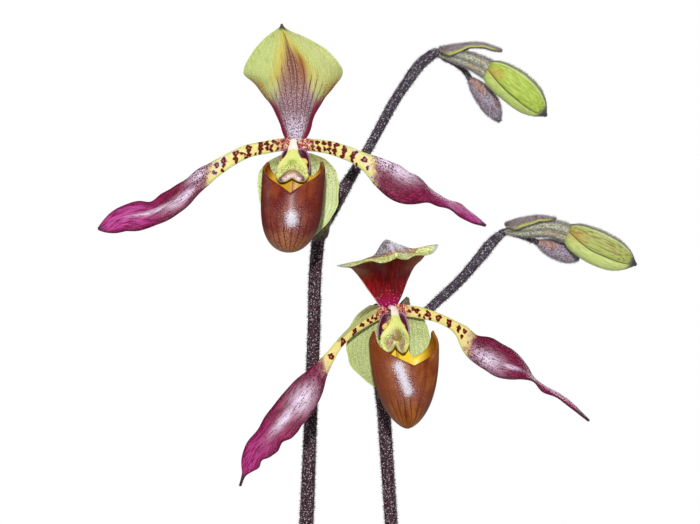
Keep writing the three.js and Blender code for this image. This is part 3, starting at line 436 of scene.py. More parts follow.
def new_object(name, vertices, faces, material, attributes):
    """A mesh object from vertices in millimetres, with vector attributes for its material to read."""
    mesh = bpy.data.meshes.new(name)
    mesh.from_pydata((np.asarray(vertices) * MM).tolist(), [], faces)
    for key, values in attributes.items():
        layer = mesh.attributes.new(key, "FLOAT_VECTOR", "POINT")
        layer.data.foreach_set("vector", np.ascontiguousarray(values, dtype=np.float32).ravel())
    mesh.polygons.foreach_set("use_smooth", [True] * len(mesh.polygons))
    mesh.materials.append(material)
    piece = bpy.data.objects.new(name, mesh)
    bpy.context.scene.collection.objects.link(piece)
    return piece


def ring_object(name, rings, material, attributes):
    """A closed body from rings of points, each attribute given on the same grid."""
    rows, around = rings.shape[:2]
    faces = tube_faces(rows, around)
    start, last = rows * around, (rows - 1) * around
    for j in range(around):
        after = (j + 1) % around
        faces += [(start, after, j), (start + 1, last + j, last + after)]

    def with_ends(grid):
        return np.concatenate([grid.reshape(-1, 3), [grid[0].mean(0), grid[-1].mean(0)]])
    full = {key: with_ends(values) for key, values in attributes.items()}
    return new_object(name, with_ends(rings), faces, material, full)


def keep(piece, nodes):
    """Fixes a piece to the root body, in place of the solids it stands for."""
    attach(piece, "root")
    if nodes:
        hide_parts(*nodes)


def turned(outline, sides):
    """Rings of a turned body about the vertical axis, from (radius, height) pairs."""
    return np.array([
        [(radius * math.cos(a), radius * math.sin(a), height) for a in even_angles(sides)]
        for radius, height in outline
    ])


# Materials

def srgb(tone):
    channels = [value / 255 for value in tone]
    return tuple(c / 12.92 if c <= 0.04045 else ((c + 0.055) / 1.055) ** 2.4 for c in channels) + (1,)


class Value:
    """A number or colour worked out at every point of a surface, combined in plain arithmetic."""

    def __init__(self, paint, socket):
        self.paint, self.socket = paint, socket

    def __add__(self, other):
        return self.paint.math("ADD", self, other)

    def __mul__(self, other):
        return self.paint.math("MULTIPLY", self, other)

    def __sub__(self, other):
        return self.paint.math("SUBTRACT", self, other)

    def __rsub__(self, other):
        return self.paint.math("SUBTRACT", other, self)

    def __abs__(self):
        return self.paint.math("ABSOLUTE", self)

    __radd__, __rmul__ = __add__, __mul__

    def step(self, low, high):
        """0 up to the low value, 1 from the high one on, and smooth between them."""
        inputs = (self, low, high, 0, 1)
        return self.paint.node("ShaderNodeMapRange", inputs, interpolation_type="SMOOTHSTEP")

    def near(self, middle, reach):
        """1 where the value is at the middle, falling to 0 at the reach."""
        return abs(self - middle).step(reach, 0)

    def lines(self, count, width):
        """Thin lines at even places of the value: 1 on each line and 0 between."""
        return abs(self.paint.math("COSINE", count * math.pi * self)).step(width, 0)

    def coat(self, tone, amount):
        """Lays a tone over this colour."""
        self.socket = self.paint.mix(self, tone, amount).socket


class Paint:
    """A Principled material built up from small node steps. A tone of three numbers is sRGB.

    Its grain lies on the attribute that flat names, or without one on the object's own coordinates.
    """

    def __init__(self, name, roughness, specular, coat=(0, 0.03), flat="flat"):
        self.material = bpy.data.materials.new(name)
        self.material.use_nodes = True
        self.nodes = self.material.node_tree.nodes
        self.shader = self.nodes["Principled BSDF"]
        sockets = ("Roughness", "Specular IOR Level", "Coat Weight", "Coat Roughness")
        for socket, value in zip(sockets, (roughness, specular, *coat)):
            self.shader.inputs[socket].default_value = value
        self.flat = self.parts(flat) if flat else self.object_place()

    def feed(self, socket, value):
        if isinstance(value, Value):
            self.material.node_tree.links.new(value.socket, socket)
        elif isinstance(value, tuple) and len(value) == 3:
            socket.default_value = srgb(value)
        else:
            socket.default_value = value

    def node(self, kind, inputs=(), output=0, **settings):
        """An output of a new node whose inputs are fed in order, or by their names or numbers."""
        node = self.nodes.new(kind)
        for setting, value in settings.items():
            setattr(node, setting, value)
        for key, value in inputs.items() if isinstance(inputs, dict) else enumerate(inputs):
            self.feed(node.inputs[key], value)
        return Value(self, node.outputs[output])

    def split(self, vector):
        node = self.nodes.new("ShaderNodeSeparateXYZ")
        self.feed(node.inputs[0], vector)
        return [Value(self, socket) for socket in node.outputs]

    def parts(self, name):
        return self.split(self.node("ShaderNodeAttribute", output="Vector", attribute_name=name))

    def object_place(self):
        place = self.node("ShaderNodeTexCoord", output="Object")
        return self.split(self.node("ShaderNodeVectorMath", {0: place, "Scale": 1 / MM}, operation="SCALE"))

    def vector(self, *values):
        return self.node("ShaderNodeCombineXYZ", values)

    def math(self, operation, *values):
        return self.node("ShaderNodeMath", values, operation=operation)

    def mix(self, one, other, amount):
        return self.node("ShaderNodeMix", {0: amount, 6: one, 7: other}, 2, data_type="RGBA")

    def noise(self, vector, scale, detail):
        return self.node("ShaderNodeTexNoise", {"Vector": vector, "Scale": scale, "Detail": detail}, "Fac")

    def stretched(self, stretch):
        return self.vector(*(part if by == 1 else by * part for part, by in zip(self.flat, stretch)))

    def grain(self, scale, detail=3, stretch=EVEN):
        return self.noise(self.stretched(stretch), scale, detail)

    def cells(self, scale, stretch=EVEN):
        inputs = {"Vector": self.stretched(stretch), "Scale": scale}
        return self.node("ShaderNodeTexVoronoi", inputs, "Distance")

    def finish(self, color, roughness=None, height=None, depth=0.1):
        self.feed(self.shader.inputs["Base Color"], color)
        if roughness is not None:
            self.feed(self.shader.inputs["Roughness"], roughness)
        if height is not None:
            bump = self.node("ShaderNodeBump", {"Strength": 1, "Distance": depth * MM, "Height": height})
            self.feed(self.shader.inputs["Normal"], bump)
        return self.material


def petal_material(name, basal, edge_green, spot_highlight, tip_glow):
    p = Paint(name, roughness=0.5, specular=0.12)
    s, t, side = p.parts("place")
    along = p.flat[1]
    zone, spot, sheen = p.parts("petal")
    upper, rolled, tail = p.parts("fold")
    grain = p.grain(4.5)
    speckle = p.grain(2.6)
    blotch = p.grain(0.55, 2)
    fibre = p.grain(1.1, 3, (2.4, 0.3, 1))
    size = abs(s)
    wash = p.mix(basal, edge_green, size.step(0.45, 1))
    wash.coat((196, 178, 84), 0.3 * fibre.step(0.4, 0.66))
    wash.coat((250, 240, 190), 0.45 * speckle.step(0.5, 0.66))
    fold = upper - rolled
    wash.coat((158, 170, 104), 0.85 * fold.step(0, 0.12))
    wash.coat((104, 92, 44), 0.7 * fold.near(0.02, 0.07))
    peach = (along + 5 * blotch).step(10, 4)
    wash.coat((240, 186, 138), 0.75 * peach)
    ragged = spot + 0.8 * (p.grain(1.1) - 0.5)
    wash.coat((168, 76, 34), 0.7 * ragged.step(0.32, 0.04))
    wash.coat((92, 5, 3), ragged.step(0.18, 0))
    wash.coat((184, 122, 64), 0.75 * ragged.step(-0.46, -0.72))
    foot = along.step(6, 2.5) * p.grain(1.2, 2).step(0.38, 0.48)
    wash.coat((150, 6, 30), 0.95 * foot)
    cream = along.step(7, 3) * speckle.step(0.56, 0.64)
    wash.coat((255, 228, 214), 0.9 * cream)
    # Painted highlight: pale rings round some of the spots
    spot_highlight_ring = (zone + 5 * upper).step(-9, -4) * ragged.near(0.12, 0.24)
    wash.coat((214, 210, 222), spot_highlight_ring * spot_highlight)
    dots = p.cells(1.5)
    dot_reach = 0.46 * zone.step(-5, 3) * zone.step(16, 4)
    purple_zone = zone + 6 * (blotch - 0.5)
    blade = p.mix((92, 3, 32), (124, 6, 72), t.step(0.55, 0.9))
    blade.coat((176, 36, 100), 0.55 * fibre.step(0.45, 0.66))
    blade.coat((60, 2, 24), 0.5 * s.lines(7, 0.3))
    bright = t.step(0.66, 0.86) * size.step(0.95, 0.5) * fibre.step(0.36, 0.6)
    blade.coat((214, 96, 180), bright * tip_glow)
    rim = (size + 0.2 * grain).step(0.82, 1.1)
    blade.coat((56, 2, 24), 0.75 * rim)
    # Painted sheen: pale lavender patches along the blade
    painted_sheen = sheen * (0.5 * speckle + 0.5 * fibre).step(0.34, 0.54)
    blade.coat((232, 214, 236), painted_sheen)
    blade.coat((206, 120, 176), 0.35 * speckle.step(0.58, 0.68))
    tan = purple_zone.step(-4, 0) * purple_zone.step(4, 1)
    color = p.mix(wash, blade, purple_zone.step(-1.4, 2.4))
    color.coat((196, 150, 150), 0.25 * tan)
    is_dot = (dot_reach - dots).step(0, 0.08)
    color.coat((72, 8, 34), 0.85 * is_dot)
    color.coat((62, 44, 48), 0.9 * (t - tail).step(-0.02, 0.01))
    behind = p.mix((186, 184, 104), (112, 44, 70), zone.step(0, 6))
    color.coat(behind, side.step(-0.2, -0.9))
    relief = 0.8 * ragged.step(0.1, -0.4) + fibre - 0.6 * s.lines(7, 0.5)
    return p.finish(color, height=relief, depth=0.05)


def dorsal_open_material():
    p = Paint("dorsal_sepal_open", roughness=0.5, specular=0.2)
    s, t, side = p.parts("place")
    _, flame, right = p.parts("margin")
    grain = p.grain(4)
    speckle = p.grain(3.2)
    blotch = p.grain(0.3, 2, (1, 0.5, 1))
    fibre = p.grain(0.9, 3, (2.4, 0.25, 1))
    size = abs(s)
    green = p.mix((200, 188, 80), (184, 198, 116), (size + 0.3 * blotch).step(0.3, 0.7))
    green.coat((224, 228, 176), 0.5 * speckle.step(0.46, 0.64))
    green.coat((128, 142, 62), 0.3 * speckle.step(0.46, 0.34))
    green.coat((142, 150, 60), 0.35 * fibre.step(0.5, 0.68))
    tawny = right * size.step(0.3, 0.6) * speckle.step(0.5, 0.62)
    green.coat((214, 192, 156), 0.6 * tawny)
    edge = flame + 0.3 * (fibre - 0.5) + 0.5 * (speckle - 0.5)
    gold = edge.near(0, 0.11) * t.step(0.4, 0.6)
    color = p.mix(green, (190, 146, 40), 0.5 * gold)
    purple = p.mix((92, 36, 58), (192, 162, 186), speckle.step(0.42, 0.64))
    brown = p.mix((108, 46, 38), (184, 144, 134), speckle.step(0.42, 0.64))
    purple.coat(brown, t.step(0.3, 0.62))
    color.coat(purple, 0.92 * edge.step(-0.02, 0.14))
    wander = s + 0.05 * (p.grain(0.22, 1) - 0.5)
    veins = wander.lines(7, 0.46)
    reach = (edge + 0.04 * right).step(-0.06, 0.06)
    color.coat((84, 22, 34), veins * reach * (0.62 + 0.3 * right))
    faint = 0.22 * wander.lines(14, 0.3) * edge.step(0.1, -0.1)
    color.coat((120, 122, 50), faint)
    rusty = right * s.near(0.2, 0.16) * t.near(0.66, 0.24)
    color.coat((132, 54, 22), 0.7 * rusty)
    middle = s.near(0, 0.05) * t.step(0.3, 0.6)
    color.coat((92, 38, 26), 0.75 * middle)
    white = t.step(0.3, 0.08) * size.step(0.6, 0.3) * speckle.step(0.4, 0.52)
    color.coat((232, 218, 240), 0.9 * white)
    specks = p.cells(1.6, (1, 0.6, 1)).step(0.38, 0.24)
    color.coat((66, 22, 62), 0.85 * specks * t.step(0.4, 0.14))
    rough_size = size + 0.14 * grain
    broken_size = size + 1.6 * (speckle - 0.5)
    warm = broken_size.step(0.66, 0.96) * t.step(0.62, 0.46)
    color.coat((140, 58, 24), 0.9 * warm)
    flank = rough_size.step(0.62, 0.8) * (t - 0.12 * size).step(0.3, 0.18)
    color.coat((122, 6, 56), 0.95 * flank)
    color.coat((58, 48, 54), 0.9 * t.step(0.94, 0.975))
    outer = p.mix((150, 140, 90), (186, 186, 110), grain.step(0.4, 0.6))
    outer.coat((120, 84, 84), 0.7 * size.step(0.5, 0) * t.step(1, 0.2))
    color.coat(outer, side.step(-0.2, -0.9))
    relief = -0.7 * veins + 0.8 * fibre
    return p.finish(color, height=relief, depth=0.12)


def dorsal_hooded_material():
    p = Paint("dorsal_sepal_hooded", roughness=0.5, specular=0.18)
    s, t, side = p.parts("place")
    margin = p.parts("margin")[0]
    grain = p.grain(4.2)
    speckle = p.grain(2.6)
    blotch = p.grain(0.35, 2)
    streak = p.grain(0.9, 3, (2.2, 0.22, 1))
    size = abs(s)
    inner = p.mix((96, 2, 10), (146, 12, 20), streak.step(0.4, 0.62))
    olive = (size + 0.3 * blotch).step(0.5, 1) * t.step(0.22, 0.42)
    inner.coat((156, 84, 34), 0.85 * olive)
    inner.coat((58, 4, 12), 0.55 * s.lines(8, 0.34))
    green_lip = (margin + 0.6 * grain).step(2.5, 1.7) * t.step(0.46, 0.56)
    inner.coat((186, 188, 98), green_lip)
    rosy = (t + 0.1 * (blotch - 0.5)).step(0.12, 0.03)
    inner.coat((150, 8, 74), rosy)
    # Painted shade: darker red on the inner face, under the top of the hood
    deep = 0.5 * t.step(0.26, 0.5) * margin.step(1.5, 2.6)
    inner.coat((64, 6, 4), deep)
    pale = p.cells(1.3).step(0.22, 0.1)
    inner.coat((238, 196, 214), 0.9 * pale * t.step(0.2, 0.03))
    specks = p.cells(0.8).step(0.1, 0.05)
    inner.coat((186, 108, 96), 0.5 * specks)
    cream = margin.step(0.5, 0.2) * t.step(0.3, 0.2) * s.step(0.2, -0.2)
    inner.coat((238, 214, 190), cream)
    lime = p.mix((158, 168, 78), (226, 228, 166), speckle.step(0.42, 0.58))
    tan = p.mix((122, 78, 54), (198, 166, 122), speckle.step(0.42, 0.58))
    lilac = p.mix((70, 54, 66), (206, 200, 212), speckle.step(0.42, 0.58))
    inland = margin + 1.8 * blotch - 4 * size.step(0.42, 0.66)
    outer = p.mix(lime, tan, inland.step(3.8, 5.4))
    crest = size.step(0.6, 0.2) * margin.step(4.6, 8)
    outer.coat(lilac, 0.95 * crest)
    outer.coat((216, 212, 226), 0.85 * s.near(0, 0.12) * t.near(0.88, 0.08))
    wing_tip = size.step(0.86, 0.98) * t.near(0.66, 0.2)
    outer.coat((176, 172, 184), 0.8 * wing_tip)
    outer.coat((112, 66, 66), 0.55 * t.step(0.62, 0.3))
    color = p.mix(inner, outer, side.step(0.3, -0.3))
    relief = -0.5 * s.lines(8, 0.4) + streak
    return p.finish(color, height=relief, depth=0.12)


def synsepal_material(name, low, high, dots_and_shade, veined):
    p = Paint(name, roughness=0.5, specular=0.3)
    s, t, side = p.parts("place")
    grain = p.grain(4)
    speckle = p.grain(2.6)
    broken = p.grain(0.9, 2, (3, 1.4, 1))
    color = p.mix(low, high, speckle.step(0.38, 0.62))
    wander = s + 0.05 * (p.grain(0.2, 1) - 0.5)
    dashes = wander.lines(9, 0.34) * broken.step(0.4, 0.56)
    color.coat((112, 128, 72), 0.55 * dashes)
    color.coat((188, 198, 104), 0.4 * abs(s).step(0.8, 1))
    dots = p.cells(1.2).step(0.42, 0.26)
    color.coat((92, 84, 30), dots * t.step(0.5, 0.25) * dots_and_shade)
    # Painted shade, with the base's own olive tone: darker olive towards the base, under the petals and
    # column
    color.coat((122, 118, 44), t.step(0.22, 0.04) * (0.5 + 0.3 * dots_and_shade))
    outer = p.mix((140, 142, 92), (176, 178, 124), grain.step(0.35, 0.65))
    color.coat(outer, side.step(-0.2, -0.9))
    inward = abs(s).step(1, 0.9)
    brown = 0.65 * wander.lines(10, 0.8) + 0.35
    shoulder = t.step(0.24, 0.08) * inward * veined
    color.coat((72, 32, 38), shoulder * brown)
    return p.finish(color, height=0.5 * grain - 0.5 * s.lines(9, 0.5), depth=0.14)


def pouch_material(name, front, flank, sandy, gold, ear):
    p = Paint(name, roughness=0.4, specular=0.15, coat=(0.1, 0.3))
    turn, level, side = p.parts("place")
    _, along, seed = p.flat
    painted_highlight, painted_halo, _ = p.parts("painted_highlight")
    speckle = p.grain(2.4)
    blotch = p.grain(0.2)
    fibre = p.noise(p.vector(60 * turn, 0.1 * along, seed), 0.5, 3)
    size = abs(turn)
    skin = p.mix(front, flank, blotch.step(0.36, 0.64))
    skin.coat(flank, 0.85 * (size + 0.12 * blotch).step(0.14, 0.28))
    skin.coat((84, 14, 8), 0.5 * fibre.step(0.46, 0.64))
    # Painted sheen: a mottled lilac-grey halo round the painted highlight
    halo_sheen = painted_halo * speckle.step(0.42, 0.56)
    skin.coat((160, 122, 122), 0.5 * halo_sheen)
    skin.coat(sandy, 0.1 * speckle.step(0.54, 0.66))
    wavering = turn + 0.04 * (p.grain(0.12, 1) - 0.5)
    veins = wavering.lines(23, 0.5) * (level + 0.4 * blotch).step(0.7, 0.4)
    low = (level + 0.3 * blotch).step(0.44, 0.2)
    skin.coat(sandy, 0.7 * low * speckle.step(0.36, 0.6))
    skin.coat((56, 16, 8), 0.85 * veins)
    # Painted highlight: a mottled pale patch on the front of the pouch
    shine = (1.1 * painted_highlight + 2.4 * (speckle - 0.5)).step(0.3, 1.15)
    skin.coat((214, 211, 226), 0.86 * shine)
    lining = p.mix(gold, ear, (size + 0.08 * blotch).step(0.43, 0.34))
    lining.coat((236, 206, 92), 0.2 * speckle.step(0.52, 0.7))
    # Painted shade: a darker line down the middle of the back of the lining, where it creases
    painted_crease_shade = 0.6 * size.step(0.486, 0.498)
    lining.coat(ear, painted_crease_shade)
    color = p.mix(skin, lining, side.step(0.1, -0.1))
    color.coat(ear, 0.5 * side.near(0, 0.4))
    pits = p.grain(1.8, 2)
    relief = 0.2 * pits - 0.8 * veins + 0.5 * fibre
    return p.finish(color, roughness=0.32 + 0.16 * speckle, height=relief, depth=0.06)


def column_material(name, neck, shade, shade_reach, mauve, foot_tone, foot_reach, bow):
    p = Paint(name, roughness=0.38, specular=0.4)
    t = p.parts("place")[1]
    margin, lobe, tooth = p.parts("margin")
    centre, foot, _ = p.parts("shield")
    speckle = p.grain(3.4)
    blotch = p.grain(1.2, 2)
    rough = 1.2 * (speckle - 0.5)
    color = p.mix((255, 240, 228), (214, 220, 104), t.step(neck - 0.1, neck))
    color.coat((240, 244, 190), 0.5 * speckle.step(0.44, 0.6) * t.step(neck - 0.1, neck))
    dusky = (centre + rough).step(shade_reach, 0.2)
    color.coat(shade, 0.8 * dusky)
    upper_part = foot.step(1.2, 2)
    flecks = lobe.near(1.5, 0.55) * upper_part * speckle.step(0.5, 0.42)
    color.coat((66, 64, 30), 0.8 * flecks)
    arc = (lobe + 0.25 * rough).near(0.96, 0.36)
    inside = (lobe + 0.4 * rough).step(0.95, 0.75)
    color.coat(mauve, inside * (0.4 + 0.6 * speckle.step(0.4, 0.6)))
    rolled = (foot + rough).step(foot_reach, foot_reach - 0.5) * t.step(0.8, 0.88) * lobe.step(1.15, 0.9)
    color.coat(foot_tone, 0.9 * rolled)
    color.coat((112, 56, 86), arc * bow)
    color.coat((170, 112, 76), 0.6 * tooth.step(1, 0.3))
    rim = margin.step(0.6, 0.25) * t.step(neck, neck + 0.2)
    color.coat((246, 238, 160), 0.8 * rim)
    return p.finish(color, height=blotch + 0.6 * speckle, depth=0.1)


def side_lobe_material():
    p = Paint("side_lobe", roughness=0.35, specular=0.4)
    s, t, side = p.parts("place")
    speckle = p.grain(2.8)
    size = abs(s) + 0.5 * (speckle - 0.5)
    color = p.mix((56, 8, 26), (112, 44, 66), speckle.step(0.42, 0.6))
    color.coat((192, 146, 182), 0.85 * size.step(0.5, 0.8))
    color.coat((200, 150, 170), 0.3 * t.step(0.3, 0.05))
    color.coat((150, 96, 120), side.step(-0.1, -0.8))
    return p.finish(color, height=speckle, depth=0.08)


def column_stalk_material():
    p = Paint("column_stalk", roughness=0.4, specular=0.45)
    grain = p.grain(3, 2)
    t = p.parts("place")[1]
    stalk = p.mix((244, 214, 206), (255, 246, 238), grain.step(0.4, 0.64))
    return p.finish(p.mix(stalk, (160, 34, 66), t.step(0.62, 0.4)))


def anther_material():
    p = Paint("anther", roughness=0.3, specular=0.4)
    grain = p.grain(1.6, 2)
    return p.finish(p.mix((226, 190, 84), (248, 232, 140), grain.step(0.36, 0.64)))


def green_body_material(name, low, high, streak, drawn_out):
    """Ovaries and buds: green bodies, mottled and with lengthwise streaks."""
    p = Paint(name, roughness=0.45, specular=0.4)
    angle, t, _ = p.parts("place")
    grain = p.grain(3.6)
    fibre = p.grain(0.9, 3, (1.7, 1.7, 0.16))
    mottle = p.grain(2, 3, (1, 1, drawn_out))
    color = p.mix(low, high, mottle.step(0.4, 0.62))
    color.coat(streak, 0.6 * fibre.step(0.48, 0.64))
    return p, color, (angle, t, grain, fibre)


def ovary_material():
    p, color, (angle, _, grain, fibre) = green_body_material(
        "ovary", (112, 118, 92), (196, 200, 176), (170, 130, 104), 1)
    ribs = p.math("COSINE", OVARY_RIBS * angle).step(-0.2, -0.9)
    color.coat((70, 60, 50), 0.6 * ribs)
    return p.finish(color, height=grain + 0.6 * fibre, depth=0.18)


def bud_material(name, low, high, browned, seam):
    p, color, (angle, t, grain, fibre) = green_body_material(name, low, high, (132, 158, 46), 0.14)
    early = p.math("MAXIMUM", SEAM_STRAIGHT - t, 0)
    wander = angle + SEAM_TWIST * early * early
    lower = wander.step(seam - 0.02, seam + 0.08)
    color.coat((206, 222, 140), 0.45 * lower)
    brown = fibre.step(0.64, 0.36) * wander.step(seam, seam - 0.2) * browned
    color.coat((112, 84, 34), brown)
    tint = 0.5 * angle.near(2.95, 0.7) * t.step(0.34, 0.16)
    color.coat((186, 130, 50), tint)
    color.coat((52, 60, 22), 0.9 * wander.near(seam, 0.09))
    fuzzy = angle.step(2.14, 2) * (0.45 + 0.8 * grain)
    color.coat((112, 112, 92), fuzzy)
    color.coat((232, 238, 206), 0.6 * angle.near(RIDGE_ANGLE, 0.06))
    color.coat((96, 104, 52), 0.6 * t.step(0.06, 0))
    color.coat((64, 56, 60), (t + 0.06 * grain).step(0.88, 0.97))
    return p.finish(color, height=grain + 0.9 * fibre, depth=0.2)


def bract_material(name, low, high, warm, tip_shade):
    p = Paint(name, roughness=0.55, specular=0.3)
    s, t, side = p.parts("place")
    grain = p.grain(3.6)
    speckle = p.grain(2.6)
    blotch = p.grain(0.35, 2)
    stripes = p.grain(0.8, 3, (2, 0.2, 1))
    color = p.mix(low, high, speckle.step(0.38, 0.62))
    color.coat(warm, 0.8 * stripes.step(0.46, 0.6))
    color.coat((180, 190, 74), 0.85 * abs(s).step(0.76, 0.92))
    color.coat((140, 132, 92), 0.4 * blotch.step(0.55, 0.7))
    # Darker purple-brown at the base: partly its own colour, partly painted shade
    color.coat((52, 32, 40), 0.7 * t.step(0.22, 0.06))
    inner = p.mix((112, 120, 74), (160, 166, 116), speckle.step(0.4, 0.6))
    inner.coat(warm, 0.8 * stripes.step(0.42, 0.52))
    tip = t.step(0.84, 0.96) * tip_shade
    color.coat((62, 50, 58), tip)
    inner.coat((62, 50, 58), tip)
    color.coat(inner, side.step(-0.1, 0.6))
    return p.finish(color, height=grain + 0.6 * stripes, depth=0.2)


def tip_bract_material():
    p = Paint("tip_bract", roughness=0.55, specular=0.3)
    angle, t, _ = p.parts("place")
    speckle = p.grain(2.4)
    fibre = p.grain(0.9, 3, (1.6, 1.6, 0.2))
    color = p.mix((84, 66, 88), (178, 168, 186), speckle.step(0.4, 0.6))
    color.coat((108, 76, 88), 0.6 * fibre.step(0.48, 0.62))
    warm = angle.near(2.6, 1) * (t + 0.3 * fibre).step(0.62, 0.4)
    color.coat(p.mix((128, 70, 40), (202, 152, 120), speckle.step(0.4, 0.6)), 0.85 * warm)
    edge = angle.near(2, 0.45) * t.near(0.62, 0.34)
    color.coat((104, 18, 20), 0.9 * edge)
    color.coat((52, 42, 56), 0.7 * t.step(0.84, 0.97))
    return p.finish(color, height=speckle + 0.6 * fibre, depth=0.2)


def scape_material():
    p = Paint("scape", roughness=0.55, specular=0.25)
    t = p.parts("place")[1]
    grain = p.grain(2)
    dark = p.mix((18, 5, 10), (74, 28, 42), grain.step(0.42, 0.6))
    green = p.mix((48, 40, 28), (104, 98, 60), grain.step(0.42, 0.6))
    color = p.mix(dark, green, t.step(0.6, 0.15))
    color.coat((62, 60, 74), 0.6 * t.step(0.8, 0.9))
    downy = p.cells(1.4).step(0.34, 0.2)
    color.coat((214, 210, 220), 0.8 * downy)
    return p.finish(color, height=grain + 0.6 * downy, depth=0.25)


def hair_material(name, root, tip, dark, dark_share):
    p = Paint(name, roughness=0.6, specular=0.3, flat="hair")
    share, shade, _ = p.flat
    color = p.mix(root, tip, share.step(0, 1))
    return p.finish(p.mix(color, dark, shade.step(dark_share + 0.05, dark_share - 0.05)))


def leaf_material():
    p = Paint("leaf", roughness=0.36, specular=0.5, coat=(0.15, 0.3))
    s, t, side = p.parts("place")
    along = p.flat[1]
    mottle = p.grain(0.16)
    blotch = p.grain(0.05, 2, (1, 0.6, 1))
    fibre = p.grain(0.6, 3, (2.2, 0.06, 1))
    size = abs(s)
    color = p.mix((62, 96, 42), (84, 122, 56), mottle.step(0.4, 0.62))
    color.coat((104, 140, 72), 0.45 * blotch.step(0.45, 0.65))
    color.coat((46, 78, 34), 0.3 * fibre.step(0.5, 0.66))
    color.coat((112, 142, 78), 0.55 * s.near(0, 0.05))
    color.coat((150, 160, 104), 0.7 * size.step(0.955, 1))
    color.coat((134, 150, 96), 0.6 * along.step(60, 5))
    color.coat((138, 112, 66), 0.8 * (t + 0.03 * mottle).step(0.985, 1.005))
    under = p.mix((104, 132, 80), (124, 150, 96), mottle.step(0.4, 0.6))
    under.coat((148, 168, 116), 0.5 * s.near(0, 0.05))
    color.coat(under, side.step(0.1, -0.3))
    height = fibre + 0.4 * mottle
    return p.finish(color, roughness=0.3 + 0.18 * mottle, height=height, depth=0.25)


def terracotta_material():
    p = Paint("terracotta", roughness=0.85, specular=0.25, flat=None)
    height = p.flat[2]
    broad = p.grain(0.02, 4)
    fine = p.grain(0.6, 4)
    pores = p.cells(0.35).step(0.14, 0.05)
    color = p.mix((166, 92, 60), (194, 118, 80), broad.step(0.38, 0.64))
    color.coat((210, 144, 108), 0.4 * fine.step(0.45, 0.7))
    lime = 0.4 * (p.grain(0.045, 5) - 0.0012 * height).step(0.5, 0.62)
    color.coat((222, 204, 186), lime)
    # Darker towards the bottom of the pot
    low_darkening = 0.45 * (height + 30 * broad).step(34, 14)
    color.coat((112, 66, 46), low_darkening)
    color.coat((112, 60, 42), 0.4 * pores)
    turning = p.math("SINE", 2.4 * height)
    relief = fine - 0.8 * pores + 0.1 * turning
    return p.finish(color, roughness=0.74 + 0.2 * fine, height=relief, depth=0.35)


def bark_material():
    p = Paint("bark", roughness=0.9, specular=0.2)
    shade = p.parts("chip")[0]
    fibre = p.grain(0.35, 4, (3, 1, 1))
    grain = p.grain(1.6)
    color = p.mix((84, 54, 36), (138, 96, 64), shade)
    color.coat((58, 36, 26), 0.6 * fibre.step(0.45, 0.65))
    color.coat((170, 132, 98), 0.5 * grain.step(0.52, 0.7))
    return p.finish(color, height=fibre + 0.5 * grain, depth=0.7)


def root_material():
    p = Paint("root", roughness=0.7, specular=0.25, flat=None)
    grain = p.grain(0.5, 4)
    color = p.mix((146, 122, 86), (198, 178, 136), grain.step(0.4, 0.64))
    return p.finish(color, height=grain, depth=0.3)


def floor_material():
    """A pale floor that turns evenly white away from the plant."""
    p = Paint("pale_floor", roughness=0.7, specular=0.2, flat=None)
    away = p.node("ShaderNodeVectorMath", [p.vector(*p.flat)], "Value", operation="LENGTH").step(700, 2100)
    color = p.mix((0.8, 0.8, 0.79, 1), (0.81, 0.81, 0.8, 1), p.grain(0.01, 2).step(0.4, 0.6))
    color.coat((0, 0, 0, 1), away)
    glow = 0.3 + 0.7 * p.node("ShaderNodeLightPath", output="Is Camera Ray")
    p.shader.inputs["Emission Color"].default_value = (1, 1, 1, 1)
    p.feed(p.shader.inputs["Emission Strength"], away * glow)
    return p.finish(color)


# Thin sheets: petals, sepals, bracts and leaves

